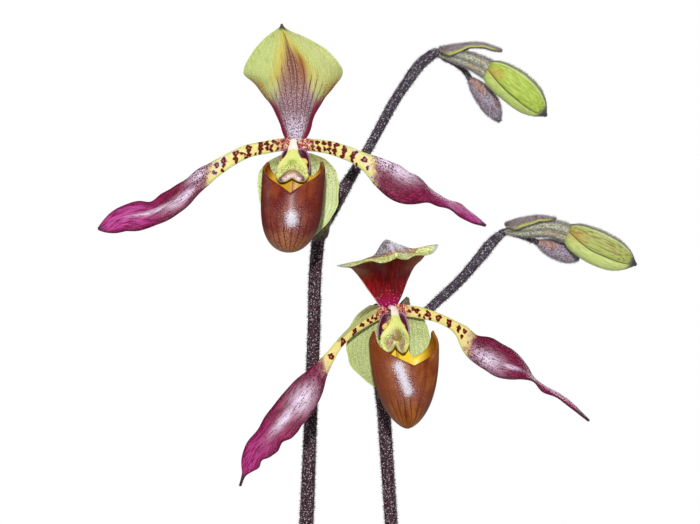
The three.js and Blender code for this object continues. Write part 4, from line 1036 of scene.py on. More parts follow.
class Sheet:
    """A thin blade as a grid of middle points: rows at the shares t, columns at s from -1 to 1.

    Its rows are arcs across the stations. The shaping lifts them inwards and draws them out ahead.
    """

    def __init__(self, stations, t, columns, half, turn, length, shaping):
        s = np.sin(np.linspace(-math.pi / 2, math.pi / 2, columns))
        gable, lobe = shaping(s)
        point, heading, across = (part[:, None] for part in stations)
        inward = np.cross(across, heading)
        turn = np.radians(turn)[:, None]
        turn = np.where(np.abs(turn) < 1e-3, 1e-3, turn)
        radius = half[:, None] / turn
        lift = radius * (1 - np.cos(s * turn)) + gable
        ahead = lobe + 0 * lift
        self.grid = (point + across * (radius * np.sin(s * turn))[..., None] + inward * lift[..., None]
                     + heading * ahead[..., None])
        self.normal = inward * np.cos(s * turn)[..., None] - across * np.sin(s * turn)[..., None]
        self.t, self.s, self.half, self.length = t, s, half, length
        self.margin = half[:, None] * (1 - np.abs(s))

    def ripple(self, height, count, seed, stiffness=4, share=1):
        """Gentle ripples, strongest at the edges and weak where the blade is narrow."""
        phase = np.random.default_rng(seed).uniform(0, 2 * math.pi, 4)
        turns = 2 * math.pi * count * self.t
        left, right = (np.sin(turns + one) + 0.6 * np.sin(1.7 * turns + two)
                       for one, two in phase.reshape(2, 2))
        wave = np.where(self.s < 0, left[:, None], right[:, None]) * np.abs(self.s) ** 3
        fade = smooth(self.t, 0.02, 0.2) * smooth(self.t, 1, 0.8) * np.minimum(1, self.half / stiffness)
        self.grid = self.grid + self.normal * (wave * fade[:, None] * height * share)[..., None]

    def build(self, name, nodes, slot, material, seed, thickness=FLESH, edge=0.25, **extra):
        """A closed sheet, thinner towards its edges. Returns its rings."""
        rim = np.clip((np.abs(self.s) - (1 - edge)) / edge, 0, 1)
        body = thickness * np.sqrt(np.clip(1 - rim ** 2, 0, 1))
        normal = unit(np.cross(np.gradient(self.grid, axis=1), np.gradient(self.grid, axis=0)))
        offset = normal * body[:, None] / 2
        rings = np.concatenate([self.grid + offset, (self.grid - offset)[:, -2:0:-1]], axis=1)

        def both_faces(*parts):
            """Values over the sheet in the order of its rings: the front, then the back."""
            grids = [np.broadcast_to(part, self.margin.shape) for part in parts]
            return np.stack([np.concatenate([grid, grid[:, -2:0:-1]], axis=1) for grid in grids], -1)
        s, t = self.s, self.t[:, None]
        place = both_faces(s, t, 1)
        place[:, len(s):, 2] = -1
        place[:, [0, len(s) - 1], 2] = 0
        flat = both_faces(s * self.half[:, None], t * self.length, seed * SEED_STEP)
        attributes = {key: both_faces(*parts) for key, parts in extra.items()}
        keep(ring_object(name, rings, material, {"place": place, "flat": flat, **attributes}), nodes)
        return rings


def blade(piece, origin, side, rows, columns, curl=None, mirrored=False):
    """The sheet of a petal, sepal or bract from its route, widths, curl, roll and lobes."""
    route, length = route_through(piece["route"], origin)
    t = np.linspace(0, 1, rows)
    roll = profile(piece.get("roll", LEVEL))(t)
    half = profile(piece["half_width"])(t)
    turn = profile(piece["curl"])(t) if "curl" in piece else np.full(rows, float(curl))

    def lobes(s):
        reach = np.where(s < 0, piece.get("left_flank", 0.55), 0.55)
        gable = profile(piece.get("gable", LEVEL))(t)[:, None] * smooth(np.abs(s) / reach, 0, 1)
        arms = smooth(np.abs(s), 0.06, 0.58) - 1.1 * smooth(np.abs(s), 0.58, 1) ** 1.5
        lobe = (piece.get("arms", 0) * t[:, None] ** 3 * arms
                - piece.get("shear", 0) * half[:, None] * t[:, None] ** 4 * s)
        return gable, lobe
    stations = stations_on(route, t, side, -roll if mirrored else roll)
    return Sheet(stations, t, columns, half, turn, length, lobes)


def spot_distance(across, along, spots):
    """Distance in millimetres to the edge of the nearest spot, negative inside it."""
    best = np.full(across.shape, 9.0)
    half = np.abs(across).max(1, keepdims=True)
    along = along + 0.22 * np.sin(3.1 * across + 0.9 * along) + 0.12 * np.sin(5.3 * across - 2.1 * along)
    across = across + 0.18 * np.sin(2.6 * along + 1.3 * across)
    for place, share, radius in spots:
        best = np.minimum(best, np.hypot(across - share * half, along - place) - 0.9 * radius)
    return best


def petal(key, which, flower, material, seed):
    piece = flower[which]
    right = which == "petal_right"
    sheet = blade(piece, flower["centre"], (0, 0, -1 if right else 1), *GRID["petal"], curl=-14,
                  mirrored=right)
    sheet.ripple(height=0.45, count=5, seed=seed)
    t = sheet.t[:, None]
    upper = -sheet.s if right else sheet.s
    sideways = unit(sheet.grid[:, -1] - sheet.grid[:, 0])[:, None]
    scallop = np.sin(2 * math.pi * 9 * t + 0.6) + 0.35 * np.sin(2 * math.pi * 17 * t + 1)
    ruffle = scallop * smooth(t, 0.6, 0.68) * smooth(t, 0.94, 0.9) * smooth(-upper, 0.2, 1)
    sheet.grid = sheet.grid - sideways * (piece.get("frill", 0) * ruffle)[..., None]
    across = upper * sheet.half[:, None]
    along = np.broadcast_to(t * sheet.length, across.shape)
    zone = along - piece["spotted"] + piece["slant"] * upper
    spot = spot_distance(across, along, piece["spots"])
    sheen = np.max([bell((upper - middle) / width) * bell((t - peak) / reach)
                    for middle, peak, reach, width in piece["sheen"]], axis=0)
    rolled = piece["rolled"] + 2 * smooth(zone, -9, -5)
    sheet.build(f"{which}_{key}", [f"{key}_{which}"], "petal", material, seed,
                petal=(zone, spot, sheen * smooth(zone, -1.5, 2.5)), fold=(upper, rolled, piece["tail"]))


def dorsal(key, flower, material, seed):
    piece = flower["dorsal"]
    sheet = blade(piece, flower["centre"], spun(flower["turn"], 1, 0), *GRID["dorsal"])
    sheet.ripple(height=0.3, count=3, seed=seed)
    s, t, margin = sheet.s, sheet.t[:, None], sheet.margin
    ridge = 0.35 * bell(s / 0.06) * smooth(t, 0, 0.2)
    sheet.grid = sheet.grid - sheet.normal * ridge[..., None]
    # Views of the grid: what changes them moves its points
    x, z = sheet.grid[..., 0], sheet.grid[..., 2]
    lowered = smooth(t, 0.44, 0.64) * smooth(t, 0.78, 0.64)
    raised = 0.6 * smooth(t, 0.68, 0.84) * smooth(t, 0.97, 0.87)
    z -= piece.get("sag", 0) * smooth(s, 0.3, 1) * (lowered - raised)
    if "lip" in piece:
        left_wing = smooth(-s, 0.45, 1)
        z += 2.4 * left_wing * smooth(t, 0.26, 0.46) * smooth(t, 0.74, 0.56)
        z -= 0.9 * smooth(np.abs(s), 0.3, 0.7) * smooth(t, 0.6, 0.8)
        x -= 1.4 * left_wing * smooth(t, 0.4, 0.56) * smooth(t, 0.84, 0.66)
        z += profile(piece["lip"])(x - flower["centre"][0]) * smooth(margin, 4.5, 0.5) * smooth(t, 0.5, 0.7)
    flame = 0.4 + 0.52 * np.exp(-(np.abs(s) / 0.3) ** 1.3) - t
    sheet.build(f"dorsal_sepal_{key}", [f"{key}_dorsal_sepal"], "dorsal_sepal", material, seed,
                margin=(margin, flame, smooth(s, -0.1, 0.15)))


def plain_blade(name, node, slot, piece, origin, side, rows, columns, ripple, material, seed):
    """A rippled sepal or bract without a form of its own. Returns its rings."""
    sheet = blade(piece, origin, side, rows, columns)
    sheet.ripple(ripple, count=3, seed=seed)
    return sheet.build(name, [node], slot, material, seed)


# Round bodies and hairs: scapes, ovaries, buds and the column's small parts

def round_body(name, node, slot, piece, origin, material, rows, around, ribs, crowding=1):
    """A round body along its route. Returns its rings."""
    route, length = route_through(piece["route"], origin)
    t = 1 - (1 - np.linspace(0, 1, rows)) ** crowding
    point, heading, across = (part[:, None] for part in stations_on(route, t, (0.3, 1, 0.1)))
    t = t[:, None]
    angle = even_angles(around)
    reach = profile(piece["radius"])(t) * ribs(angle, t)
    x, y = reach * np.cos(angle), reach * np.sin(angle)
    rings = point + across * x[..., None] + np.cross(heading, across) * y[..., None]
    attributes = {
        "place": np.stack(np.broadcast_arrays(angle, t, np.ones(x.shape)), -1),
        "flat": np.stack([x, y, np.broadcast_to(t * length, x.shape)], -1),
    }
    keep(ring_object(name, rings, material, attributes), [node])
    return rings


def ribbed(count, depth):
    return lambda angle, t: 1 + depth * np.cos(count * angle) + 0 * t


def plain_round(angle, t):
    return 1 + 0.03 * np.sin(40 * t + 2 * angle)


def bud_form(seam):
    """A bud's section: a groove where its side sepals meet the upper one, and a ridge on the upper one."""
    def section(angle, t):
        wander = angle + SEAM_TWIST * np.clip(SEAM_STRAIGHT - t, 0, None) ** 2
        groove = -0.07 * bell((wander - seam) / 0.1)
        ridge = 0.04 * bell((angle - RIDGE_ANGLE) / 0.09)
        lower = -0.05 * smooth(wander, seam, seam + 0.2) * smooth(angle, 6.1, 5.4)
        return 1 + 0.04 * np.cos(3 * angle) + groove + ridge + lower
    return section


def hairs(name, rings, material, slot, seed, count, length, radius):
    """Fine hairs as slim three-sided cones that stand on the skin of a body given by its rings."""
    lean = 0.35
    sunk = 0.05
    random = np.random.default_rng(seed)
    after = np.roll(rings, -1, axis=1)
    corners = (rings[:-1], after[:-1], after[1:], rings[1:])
    facing = np.cross(corners[1] - corners[0], corners[3] - corners[0])
    area = np.linalg.norm(facing, axis=-1)
    chosen = random.choice(area.size, count, p=(area / area.sum()).ravel())
    u, v = random.random((2, count, 1))
    a, b, c, d = (corner.reshape(-1, 3)[chosen] for corner in corners)
    root = a * (1 - u) * (1 - v) + b * u * (1 - v) + c * u * v + d * (1 - u) * v
    normal = unit(facing.reshape(-1, 3)[chosen])
    direction = unit(normal + random.normal(0, lean, (count, 3)))
    reach = length * random.uniform(0.6, 1.15, (count, 1))
    first_side = unit(np.cross(direction, random.normal(0, 1, (count, 3))))
    second_side = np.cross(direction, first_side)
    feet = [root - normal * sunk + radius * (math.cos(angle) * first_side + math.sin(angle) * second_side)
            for angle in even_angles(3)]
    vertices = np.stack(feet + [root + direction * reach], axis=1).reshape(-1, 3)
    base = np.arange(count)[:, None] * 4
    faces = np.concatenate([base + np.array(three) for three in ((0, 1, 3), (1, 2, 3), (2, 0, 3))])
    share = np.tile([0, 0, 0, 1], count)
    shade = np.repeat(random.random(count), 4)
    attributes = {"hair": np.stack([share, shade, shade], -1)}
    keep(new_object(name, vertices, faces.tolist(), material, attributes), [])


def hairy_body(part, key, piece, origin, material, fuzz, seed, ribs, crowding=1):
    """A round body and the hairs on its skin."""
    slot, rows, around, fur = HAIRY[part]
    rings = round_body(f"{part}_{key}", f"{key}_{part}", slot, piece, origin, material, rows, around, ribs,
                       crowding)
    hairs(f"{part}_hairs_{key}", rings, fuzz, slot, seed, *fur)


def hairy_blade(part, key, piece, origin, side, material, fuzz, seed):
    """A bract and the hairs on its skin."""
    slot, rows, columns, fur = HAIRY[part]
    rings = plain_blade(f"{part}_{key}", f"{key}_{part}", slot, piece, origin, side, rows, columns, 0.25,
                        material, seed)
    hairs(f"{part}_hairs_{key}", rings, fuzz, slot, seed + 1, *fur)


# Slipper pouch

def pouch_surface(pouch, angle, levels):
    """The pouch's skin from its bottom up to its rim, before it is turned and placed."""
    reach = pouch["ear"] - pouch["bottom"]
    rim = profile(pouch["rim"])(180 - np.abs(180 - angle))
    w = ((rim - pouch["bottom"]) / reach) * np.linspace(0, 1, levels + 1)[1:, None] ** 1.8
    lowered = np.clip(1 - w, 0, None)
    drawn_in = 1 - 0.1 * np.clip((w - 0.86) / 0.14, 0, 1) ** 2
    wide, deep = (drawn_in * (1 - lowered ** pouch[way]) ** (1 / pouch["roundness"])
                  for way in ("fullness", "toe"))
    x = pouch["half_width"] * wide * np.sin(np.radians(angle)) + pouch["shift"] + pouch["sway"] * lowered
    y = 1 - pouch["half_depth"] * (1 + deep * np.cos(np.radians(angle))) + pouch["lean"] * lowered
    return x, y, pouch["bottom"] + reach * w, w


def pouch(key, flower, material, lobe_material, seed):
    shape, turn, centre = flower["pouch"], flower["turn"], np.array(flower["centre"], float)
    levels, around = GRID["pouch"]
    angle = np.linspace(0, 360, around, endpoint=False)
    *place, w = pouch_surface(shape, angle, levels)
    outer = centre + np.stack(spun(turn, *place), -1)
    across = np.roll(outer, -1, axis=1) - np.roll(outer, 1, axis=1)
    inner = outer - FLESH * unit(np.cross(across, np.gradient(outer, axis=0)))
    cushion = shape["cushion"] * bell((angle - 180) / 48) * smooth(w, 0.25, 0.6) * smooth(w, 1, 0.78)
    inner = inner + cushion[..., None] * np.array(spun(turn, 0, -1))
    lip_row = (outer[-1:] + inner[-1:]) / 2 + np.array([0, 0, 0.3])
    rings = np.concatenate([outer, lip_row, inner[::-1]])
    height = outer[..., 2]

    def over(skin, lip, lining):
        """Values over the pouch in the order of its rings: up its skin and down its lining."""
        return np.concatenate([skin, lip, lining[::-1]])
    side = over(np.ones(w.shape), np.zeros(w[-1:].shape), -np.ones(w.shape))
    turns = np.broadcast_to(np.where(angle > 180, angle - 360, angle) / 360, side.shape)
    # The painted highlight on the front of the pouch: a streak from start to end as seen from the front,
    # with a wider halo of painted sheen
    start, stop, reach = (np.array(part) for part in shape["painted_highlight"])
    way = stop - start
    from_start = (rings - centre)[..., [0, 2]] - start
    share = np.clip(from_start @ way / (way @ way), 0, 1)
    away = np.linalg.norm(from_start - share[..., None] * way, axis=-1) / reach
    painted_halo = 2.3
    in_front = (side > 0.5) & (np.abs(turns) < 0.25)
    attributes = {
        "place": (turns, over(w, w[-1:], w), side),
        "flat": (turns * 2 * math.pi * shape["half_width"], over(height, height[-1:], height),
                 np.full(side.shape, seed * SEED_STEP)),
        "painted_highlight": (in_front * bell(away), in_front * bell(away / painted_halo), np.zeros(side.shape)),
    }
    attributes = {name: np.stack(parts, -1) for name, parts in attributes.items()}
    keep(ring_object(f"pouch_{key}", rings, material, attributes), [f"{key}_pouch"])

    # The two inrolled lobes between the column and the mouth
    for name, sign in SIDES:
        lobe = {
            "route": flower["side_lobes"][name],
            "half_width": [(0, 0.9), (0.3, 2.6), (0.7, 2.4), (1, 1)],
            "curl": [(0, 50), (0.5, 75), (1, 60)],
        }
        sheet = blade(lobe, centre, spun(0.5 * turn - 35 * sign, -1, 0), *GRID["side_lobe"])
        sheet.build(f"side_lobe_{name}_{key}", [], "pouch", lobe_material, seed, thickness=0.5)


# Column: its stalk, the shield-shaped staminode and the two anthers

def column(key, flower, shield_look, stalk_look, anther_look, seed):
    shape, centre, node = flower["staminode"], flower["centre"], f"{key}_column"
    top, foot, lobe = shape["top"], shape["foot"], shape["lobe"]

    def placed(points):
        return [spun(flower["turn"], *point) for point in points]

    spine = placed([(shape["shift"] * share, y, top + (foot - top) * share) for share, y in shape["bulge"]])
    route, reach = route_through(spine, centre)
    rows, columns = GRID["staminode"]
    t = np.linspace(0, 1, rows)
    half = 1.06 * profile(shape["half_width"])(t)

    def outline(s):
        beyond = np.clip((np.abs(s) - shape["shoulder"]) / (1 - shape["shoulder"]), 0, 1)
        return smooth(np.abs(s), *shape["notch"]) - shape["rise"] * beyond ** 2
    stations = stations_on(route, t, spun(flower["turn"], -1, 0))
    drawn = t[:, None] ** 8
    curl = np.full(rows, -34.0)
    sheet = Sheet(stations, t, columns, half, curl, reach,
                  lambda s: (0, lobe * drawn * outline(s)))
    full, t = lobe * outline(sheet.s), t[:, None]
    across = sheet.s * half[:, None]
    from_foot = (1 - t) * reach + full * (1 - drawn)
    above = from_foot - full
    margin = np.minimum(sheet.margin, from_foot + 0.2)
    lobe_x, reach_x, lobe_z, reach_z = shape["whorl"]
    to_lobe = np.hypot((np.abs(across) - lobe_x) / reach_x, (above - lobe_z) / reach_z)
    tooth_z, tooth_reach = shape["tooth"]
    to_tooth = np.hypot(across, (above - tooth_z) / tooth_reach)
    heart_x, heart_z, heart_reach = shape["heart"]
    to_centre = np.hypot(across / heart_x, (above - heart_z) / heart_reach)
    lower = smooth(t, 0.72, 0.86)
    rolled = 0.7 * bell((from_foot - 0.6) / 0.5) * smooth(np.abs(across), 0.2, 0.8) * lower
    hollow = -0.8 * bell((to_lobe - 0.95) / 0.4) * smooth(from_foot, 1, 2) * lower
    rim = 0.3 * bell((margin - 0.5) / 0.45) * smooth(t, 0.35, 0.6)
    relief = shape["curled"] * (rolled + hollow + 0.7 * bell(to_tooth)) + rim + 0.6 * bell(to_centre / 0.8)
    sheet.grid = sheet.grid + sheet.normal * relief[..., None]
    sheet.build(f"staminode_{key}", [node], "column", shield_look, seed, thickness=1.1,
                margin=(margin, to_lobe, to_tooth), shield=(to_centre, from_foot, 0))

    stalk = {"route": placed([(0, 3.5, 0.4 * top), (0, 0, top), (0, -2.4, top)]),
             "radius": [(0, 1.2), (0.5, 0.8), (1, 0.6)]}
    round_body(f"column_stalk_{key}", node, "column", stalk, centre, stalk_look,
               *GRID["column_stalk"], ribbed(5, 0.06))
    low, spread = shape["anther"]
    for name, sign in SIDES:
        arm = {
            "route": placed([(0.3 * sign, 0, low + 3.4), (1.5 * sign, -1.6, low + 2.2),
                             ((spread - 0.5) * sign, -3, low + 1.3), (spread * sign, -3.4, low)]),
            "radius": [(0, 0.4), (0.5, 0.45), (0.74, 0.9), (0.92, 0.8), (1, 0.25)],
        }
        round_body(f"anther_{name}_{key}", node, "column", arm, centre, anther_look,
                   *GRID["anther"], plain_round)


# Leaves

def leaf(key, index, spec, material):
    side_name, ring, length, width, sheath, lean, droop, bend = spec
    x, y, growth_turn = GROWTHS[key]
    turn = math.radians(growth_turn + (0 if side_name == "front" else 180))
    ring_radius = LEAF["first_ring"] + ring * LEAF["ring_step"]
    sheath_share = sheath / length
    rows, columns = GRID["leaf"]

    # The middle line is walked in steps finer than the rows, so that it keeps its length
    finer = 10
    fine = np.linspace(0, 1, (rows - 1) * finer + 1)
    u = np.clip((fine - sheath_share) / (1 - sheath_share), 0, 1)
    tilt = np.where(fine < sheath_share, 0, lean * np.minimum(1, u * 9) + (droop - lean) * u ** 1.15)
    tilt = np.radians(tilt)
    around = turn + math.radians(bend) * fine
    heading = np.stack([np.sin(tilt) * np.cos(around), np.sin(tilt) * np.sin(around), np.cos(tilt)], -1)
    start = (x + ring_radius * math.cos(turn), y + ring_radius * math.sin(turn), CROWN_TOP + SEAT_GAP)
    walked = np.concatenate([[np.zeros(3)], np.cumsum(heading[:-1], axis=0)])
    point = np.array(start) + walked * length / (len(fine) - 1)
    t, point, heading, around = (part[::finer] for part in (fine, point, heading, around))
    across = np.stack([np.sin(around), -np.cos(around), np.zeros_like(around)], -1)
    wrap = LEAF["wrap"]
    wrap_half, full = ring_radius * math.radians(wrap), width / 2
    opened = sheath_share + 0.2
    half = profile([(0, wrap_half), (sheath_share, wrap_half), (opened, full * 0.86), (0.6, full),
                    (0.84, full * 0.86), (0.95, full * 0.5), (1, full * 0.16)])(t)
    curl = profile([(0, wrap), (sheath_share, wrap), (opened, 34), (0.6, 20), (1, 16)])(t)
    free = smooth(t, sheath_share, opened)[:, None]
    sheet = Sheet((point, heading, across), t, columns, half, curl, length,
                  lambda s: (-1.1 * free * bell(s / 0.07), 0))
    seed = 10 * (1 + list(LEAVES).index(key)) + index
    sheet.ripple(height=0.7, count=4, seed=seed, stiffness=16, share=free)
    sheet.build(f"leaf_{index}_{key}", [f"{key}_leaf_{index}"], "leaf", material, seed,
                thickness=LEAF["thickness"], edge=0.08)


# Pot and bark

def wall_radius(height):
    inner, low = (POT[name] - POT["wall"] for name in ("shoulder_radius", "foot_radius"))
    return low + (inner - low) * (height - POT["floor"]) / (POT["height"] - POT["floor"])


def rounded(outline):
    """An outline with each inner corner replaced by a short arc-like curve."""
    radius, steps = 1, 4
    outline = np.array(outline, float)
    points = [outline[0]]
    for before, corner, after in zip(outline, outline[1:], outline[2:]):
        to_before, to_after = before - corner, after - corner
        cut = min(radius, np.linalg.norm(to_before) / 2, np.linalg.norm(to_after) / 2)
        start, stop = corner + unit(to_before) * cut, corner + unit(to_after) * cut
        for u in np.linspace(0, 1, steps + 1):
            points.append((1 - u) ** 2 * start + 2 * u * (1 - u) * corner + u * u * stop)
    return points + [outline[-1]]


def pot(material):
    height, edge, floor, foot = POT["height"], POT["edge"], POT["floor"], POT["foot_radius"]
    rim, rim_foot = POT["rim_radius"], height - POT["rim_height"]
    mouth = wall_radius(height)
    outline = [
        (AXIS, 0), (foot - edge, 0), (foot, edge), (POT["shoulder_radius"], rim_foot - edge),
        (rim - edge, rim_foot), (rim, rim_foot + edge), (rim, height - edge), (rim - edge, height),
        (mouth + edge, height), (mouth, height - edge), (wall_radius(floor), floor), (AXIS, floor),
    ]
    body = ring_object("clay_pot", turned(rounded(outline), POT["sides"]), material, {})
    past = 5
    drill = turned([(POT["hole_radius"], -past), (POT["hole_radius"], floor + past)], POT["hole_sides"])
    for i in range(POT["holes"]):
        place = spun(180 * (2 * i + 1) / POT["holes"], POT["hole_ring"], 0)
        tool = ring_object("drill", drill + np.array(place), material, {})
        cut = body.modifiers.new("hole", "BOOLEAN")
        cut.object = tool
        cut.operation = "DIFFERENCE"
        bpy.context.view_layer.objects.active = body
        bpy.ops.object.modifier_apply(modifier=cut.name)
        bpy.data.objects.remove(tool)
    body.data.set_sharp_from_angle(angle=math.radians(40))
    keep(body, ["pot"])


def chip_mesh(size, random):
    """One bark chip: a slab with worn edges and an uneven skin."""
    count = 7
    steps = np.linspace(-1, 1, count)
    u, v = np.meshgrid(steps, steps, indexing="ij")
    drop = np.maximum(np.abs(u), np.abs(v)) ** 6
    outline = 1 - 0.16 * (u * v) ** 2 + 0.12 * random.normal(0, 1, (count, 1)) * (np.abs(u) > 0.5)
    top = np.stack([u * outline, v * outline, 1 - 0.45 * drop + 0.16 * random.normal(0, 1, u.shape)], -1)
    low = np.stack([u * outline * 0.94, v * outline * 0.94, -1 + 0.45 * drop], -1)
    low[[0, -1], :, :2] = top[[0, -1], :, :2]
    vertices = np.concatenate([top.reshape(-1, 3), low.reshape(-1, 3)]) * np.array(size) / 2
    grid = np.arange(count * count).reshape(count, count)
    a, b, c, d = (part.ravel() for part in (grid[:-1, :-1], grid[1:, :-1], grid[1:, 1:], grid[:-1, 1:]))
    half = count * count
    edge = np.concatenate([grid[:-1, 0], grid[-1, :-1], grid[:0:-1, -1], grid[0, :0:-1]])
    onward = np.roll(edge, -1)
    sides = [(a, b, c, d), (half + a, half + d, half + c, half + b),
             (edge, half + edge, half + onward, onward)]
    return vertices, np.concatenate([np.stack(side, -1) for side in sides])


def spin_matrix(tilt_x, tilt_y, turn):
    cx, sx, cy, sy, cz, sz = (f(a) for a in (tilt_x, tilt_y, turn) for f in (math.cos, math.sin))
    about_x = np.array([[1, 0, 0], [0, cx, -sx], [0, sx, cx]])
    about_y = np.array([[cy, 0, sy], [0, 1, 0], [-sy, 0, cy]])
    about_z = np.array([[cz, -sz, 0], [sz, cz, 0], [0, 0, 1]])
    return about_z @ about_y @ about_x


def bark(material):
    random = np.random.default_rng(SEEDS["bark"])
    level, floor = BARK["level"], POT["floor"]
    off_wall, bottom = 0.5, floor + 0.4
    brim = wall_radius(level) - off_wall
    fill = [(AXIS, bottom), (wall_radius(floor) - off_wall, bottom), (brim, level - 1.5), (AXIS, level - 1)]
    base = turned(fill, BARK["sides"])
    faces = tube_faces(*base.shape[:2])
    vertices, flat = [base.reshape(-1, 3)], [base.reshape(-1, 3)]
    offset = len(vertices[0])
    chip = [np.zeros((offset, 3))]
    grain_step = np.array([31.0, 17.0, 5.0])
    golden = math.degrees(math.pi * (3 - math.sqrt(5)))
    for i in range(BARK["chips"]):
        scale = random.uniform(0.55, 1.15)
        size = (BARK["chip_length"] * scale, BARK["chip_width"] * scale * random.uniform(0.7, 1.2),
                BARK["chip_height"] * random.uniform(0.7, 1.2))
        made, made_faces = chip_mesh(size, random)
        ring = (brim - 0.5 * size[0] - 0.6) * math.sqrt((i + 0.5) / BARK["chips"])
        place = np.array(spun(i * golden, ring, 0, level + random.uniform(-0.5, 5.4)))
        to_crown = min(math.hypot(place[0] - x, place[1] - y) for x, y, _ in GROWTHS.values()) - size[0] / 2
        if to_crown < BARK["free_round_crown"]:
            continue
        if to_crown < BARK["low_round_crown"]:
            place[2] = level - 0.6
        matrix = spin_matrix(random.normal(0, 0.22), random.normal(0, 0.2), random.uniform(0, math.pi))
        flat.append(made + i * grain_step)
        chip.append(np.full((len(made), 3), random.random()))
        faces += (offset + made_faces).tolist()
        offset += len(made)
        vertices.append(made @ matrix.T + place)
    attributes = {"flat": np.concatenate(flat), "chip": np.concatenate(chip)}
    chips = new_object("bark_chips", np.concatenate(vertices), faces, material, attributes)
    keep(chips, ["bark_mix"])


# The whole plant

def build_flower(key, flower, looks, seed):
    centre, facing_back, fuzz = flower["centre"], spun(flower["turn"], -1, 0), looks["short_fuzz"]
    hairy_body("ovary", key, flower["ovary"], centre, looks["ovary"], fuzz, seed,
               ribbed(OVARY_RIBS, 0.06))
    hairy_blade("bract", key, flower["bract"], centre, facing_back, looks["bract"], fuzz, seed + 1)
    dorsal(key, flower, looks["dorsal"], seed + 3)
    plain_blade(f"synsepal_{key}", f"{key}_synsepal", "synsepal", flower["synsepal"], centre, facing_back,
                *GRID["synsepal"], 0.3, looks["synsepal"], seed + 4)
    petal(key, "petal_left", flower, looks["petal"], seed + 5)
    petal(key, "petal_right", flower, looks["petal"], seed + 6)
    pouch(key, flower, looks["pouch"], looks["side_lobe"], seed + 7)
    column(key, flower, looks["shield"], looks["stalk"], looks["anther"], seed + 8)


def build_bud(key, group, looks, seed):
    fuzz = looks["short_fuzz"]
    hairy_body("bud_ovary", key, group["ovary"], HERE, looks["ovary"], fuzz, seed,
               ribbed(OVARY_RIBS, 0.06))
    hairy_blade("bud_bract", key, group["bract"], HERE, (0, 1, 0), looks["bud_bract"], fuzz, seed + 1)
    hairy_body("bud", key, group["bud"], HERE, looks["bud"], fuzz, seed + 3, bud_form(group["seam"]))
    hairy_body("tip_bract", key, group["tip_bract"], HERE, looks["tip_bract"], fuzz, seed + 4,
               ribbed(3, 0.05))


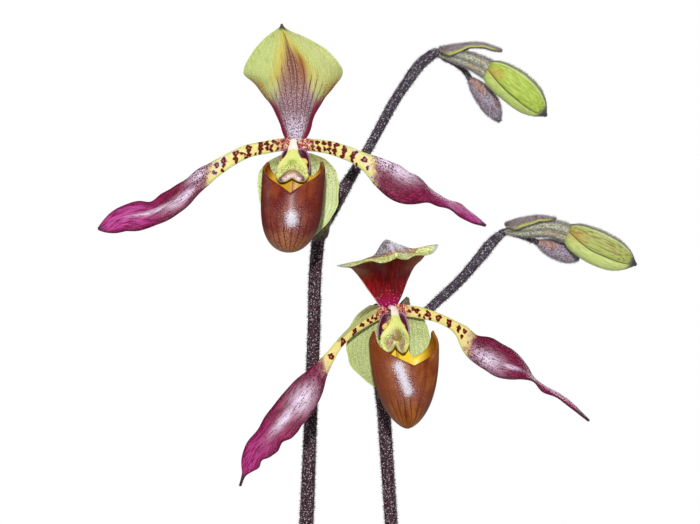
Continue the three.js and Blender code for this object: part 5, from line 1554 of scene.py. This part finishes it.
def build_plant():
    pot(terracotta_material())
    bark(bark_material())
    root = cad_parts["rhizome_with_roots"]
    root.data.materials.clear()
    root.data.materials.append(root_material())

    leaf_look = leaf_material()
    for key, leaves in LEAVES.items():
        for index, spec in enumerate(leaves, 1):
            leaf(key, index, spec, leaf_look)

    scape_look = scape_material()
    fuzz = hair_material("fuzz", (120, 104, 116), (250, 248, 252), (56, 34, 44), 0.62)
    for seed, (key, scape) in enumerate(SCAPES.items(), SEEDS["scape"]):
        hairy_body("scape", key, scape, HERE, scape_look, fuzz, seed, plain_round, crowding=1.3)

    shared = {
        "short_fuzz": hair_material("short_fuzz", (156, 146, 152), (248, 246, 250), (84, 70, 74), 0.4),
        "ovary": ovary_material(),
        "bract": bract_material("bract", (98, 96, 60), (146, 146, 92), (88, 46, 54), 0.1),
        "bud_bract": bract_material("bud_bract", (96, 84, 90), (156, 146, 154), (128, 66, 50), 0.7),
        "tip_bract": tip_bract_material(),
        "side_lobe": side_lobe_material(),
        "stalk": column_stalk_material(),
        "anther": anther_material(),
    }
    own = {
        "a": {
            "petal": petal_material("petal_a", (232, 222, 140), (190, 204, 116), 0.9, 0.6),
            "dorsal": dorsal_open_material(),
            "synsepal": synsepal_material("synsepal_a", (190, 206, 132), (228, 238, 188), 0.7, 0),
            "pouch": pouch_material("pouch_a", (132, 56, 28), (98, 14, 4), (184, 132, 88), (206, 158, 40),
                                    (142, 78, 18)),
            "shield": column_material("staminode_a", 0.38, (144, 164, 52), 1, (178, 124, 152),
                                      (250, 228, 228), 0.85, 1),
            "bud": bud_material("bud_a", (158, 184, 58), (192, 212, 96), 0.15, BUDS["a"]["seam"]),
        },
        "b": {
            "petal": petal_material("petal_b", (236, 218, 136), (196, 200, 104), 0, 0.25),
            "dorsal": dorsal_hooded_material(),
            "synsepal": synsepal_material("synsepal_b", (156, 172, 98), (206, 216, 156), 0.3, 0.9),
            "pouch": pouch_material("pouch_b", (146, 80, 24), (122, 52, 8), (164, 100, 30), (240, 210, 56),
                                    (160, 96, 22)),
            "shield": column_material("staminode_b", 0.34, (124, 84, 40), 1.3, (166, 108, 116),
                                      (250, 236, 190), 0.6, 0.5),
            "bud": bud_material("bud_b", (178, 192, 88), (206, 216, 136), 0.8, BUDS["b"]["seam"]),
        },
    }
    for number, key in enumerate(FLOWERS):
        build_flower(key, FLOWERS[key], shared | own[key], SEEDS["flower"] + number * SEEDS["step"])
    for number, key in enumerate(BUDS):
        build_bud(key, BUDS[key], shared | own[key], SEEDS["bud"] + number * SEEDS["step"])


# Camera, floor and light

def area_light(name, place, target, size, power):
    light = bpy.data.lights.new(name, "AREA")
    light.shape = "DISK"
    light.size = size
    light.energy = power
    thing = bpy.data.objects.new(name, light)
    thing.location = place
    x, y, z = np.array(target, float) - np.array(thing.location)
    thing.rotation_euler = (math.atan2(math.hypot(x, y), -z), 0, math.atan2(-x, y))
    bpy.context.scene.collection.objects.link(thing)


def build_studio():
    scene = bpy.context.scene
    camera = bpy.data.cameras.new("camera")
    camera.lens = CAMERA["lens"]
    camera.sensor_width = CAMERA["sensor"]
    camera.clip_end = 20
    thing = bpy.data.objects.new("camera", camera)
    thing.location = [value * MM for value in CAMERA["place"]]
    thing.rotation_euler = (math.pi / 2, 0, 0)
    scene.collection.objects.link(thing)
    scene.camera = thing

    half = 2500
    corners = [(-half, -half, 0), (half, -half, 0), (half, half, 0), (-half, half, 0)]
    new_object("floor", corners, [(0, 1, 2, 3)], floor_material(), {})

    world = bpy.data.worlds.new("white_studio")
    world.use_nodes = True
    nodes, links = world.node_tree.nodes, world.node_tree.links
    background = nodes["Background"]
    background.inputs["Color"].default_value = (1, 1, 1, 1)
    path = nodes.new("ShaderNodeLightPath")
    strength = nodes.new("ShaderNodeMapRange")
    strength.inputs["To Min"].default_value = 0.08
    strength.inputs["To Max"].default_value = 1.0
    links.new(path.outputs["Is Camera Ray"], strength.inputs["Value"])
    links.new(strength.outputs[0], background.inputs["Strength"])
    scene.world = world
    scene.view_settings.view_transform = "Standard"

    # Lights are placed in metres
    middle = (0, 0, 0.47)
    area_light("key", (-0.08, -3, 1.2), middle, 0.16, 92)
    area_light("glint", (0, -1.15, 0.5), middle, 0.3, 0.3)
    area_light("back", (0.9, 2.6, 1.6), middle, 1.2, 26)
    area_light("left", (-2.6, 0.6, 1.5), middle, 1.2, 15)
    area_light("right", (2.6, 0.6, 1.5), middle, 1.2, 15)
    area_light("top", (0, 0, 2.6), (0, 0.001, 0), 1.8, 11)


build_plant()
build_studio()
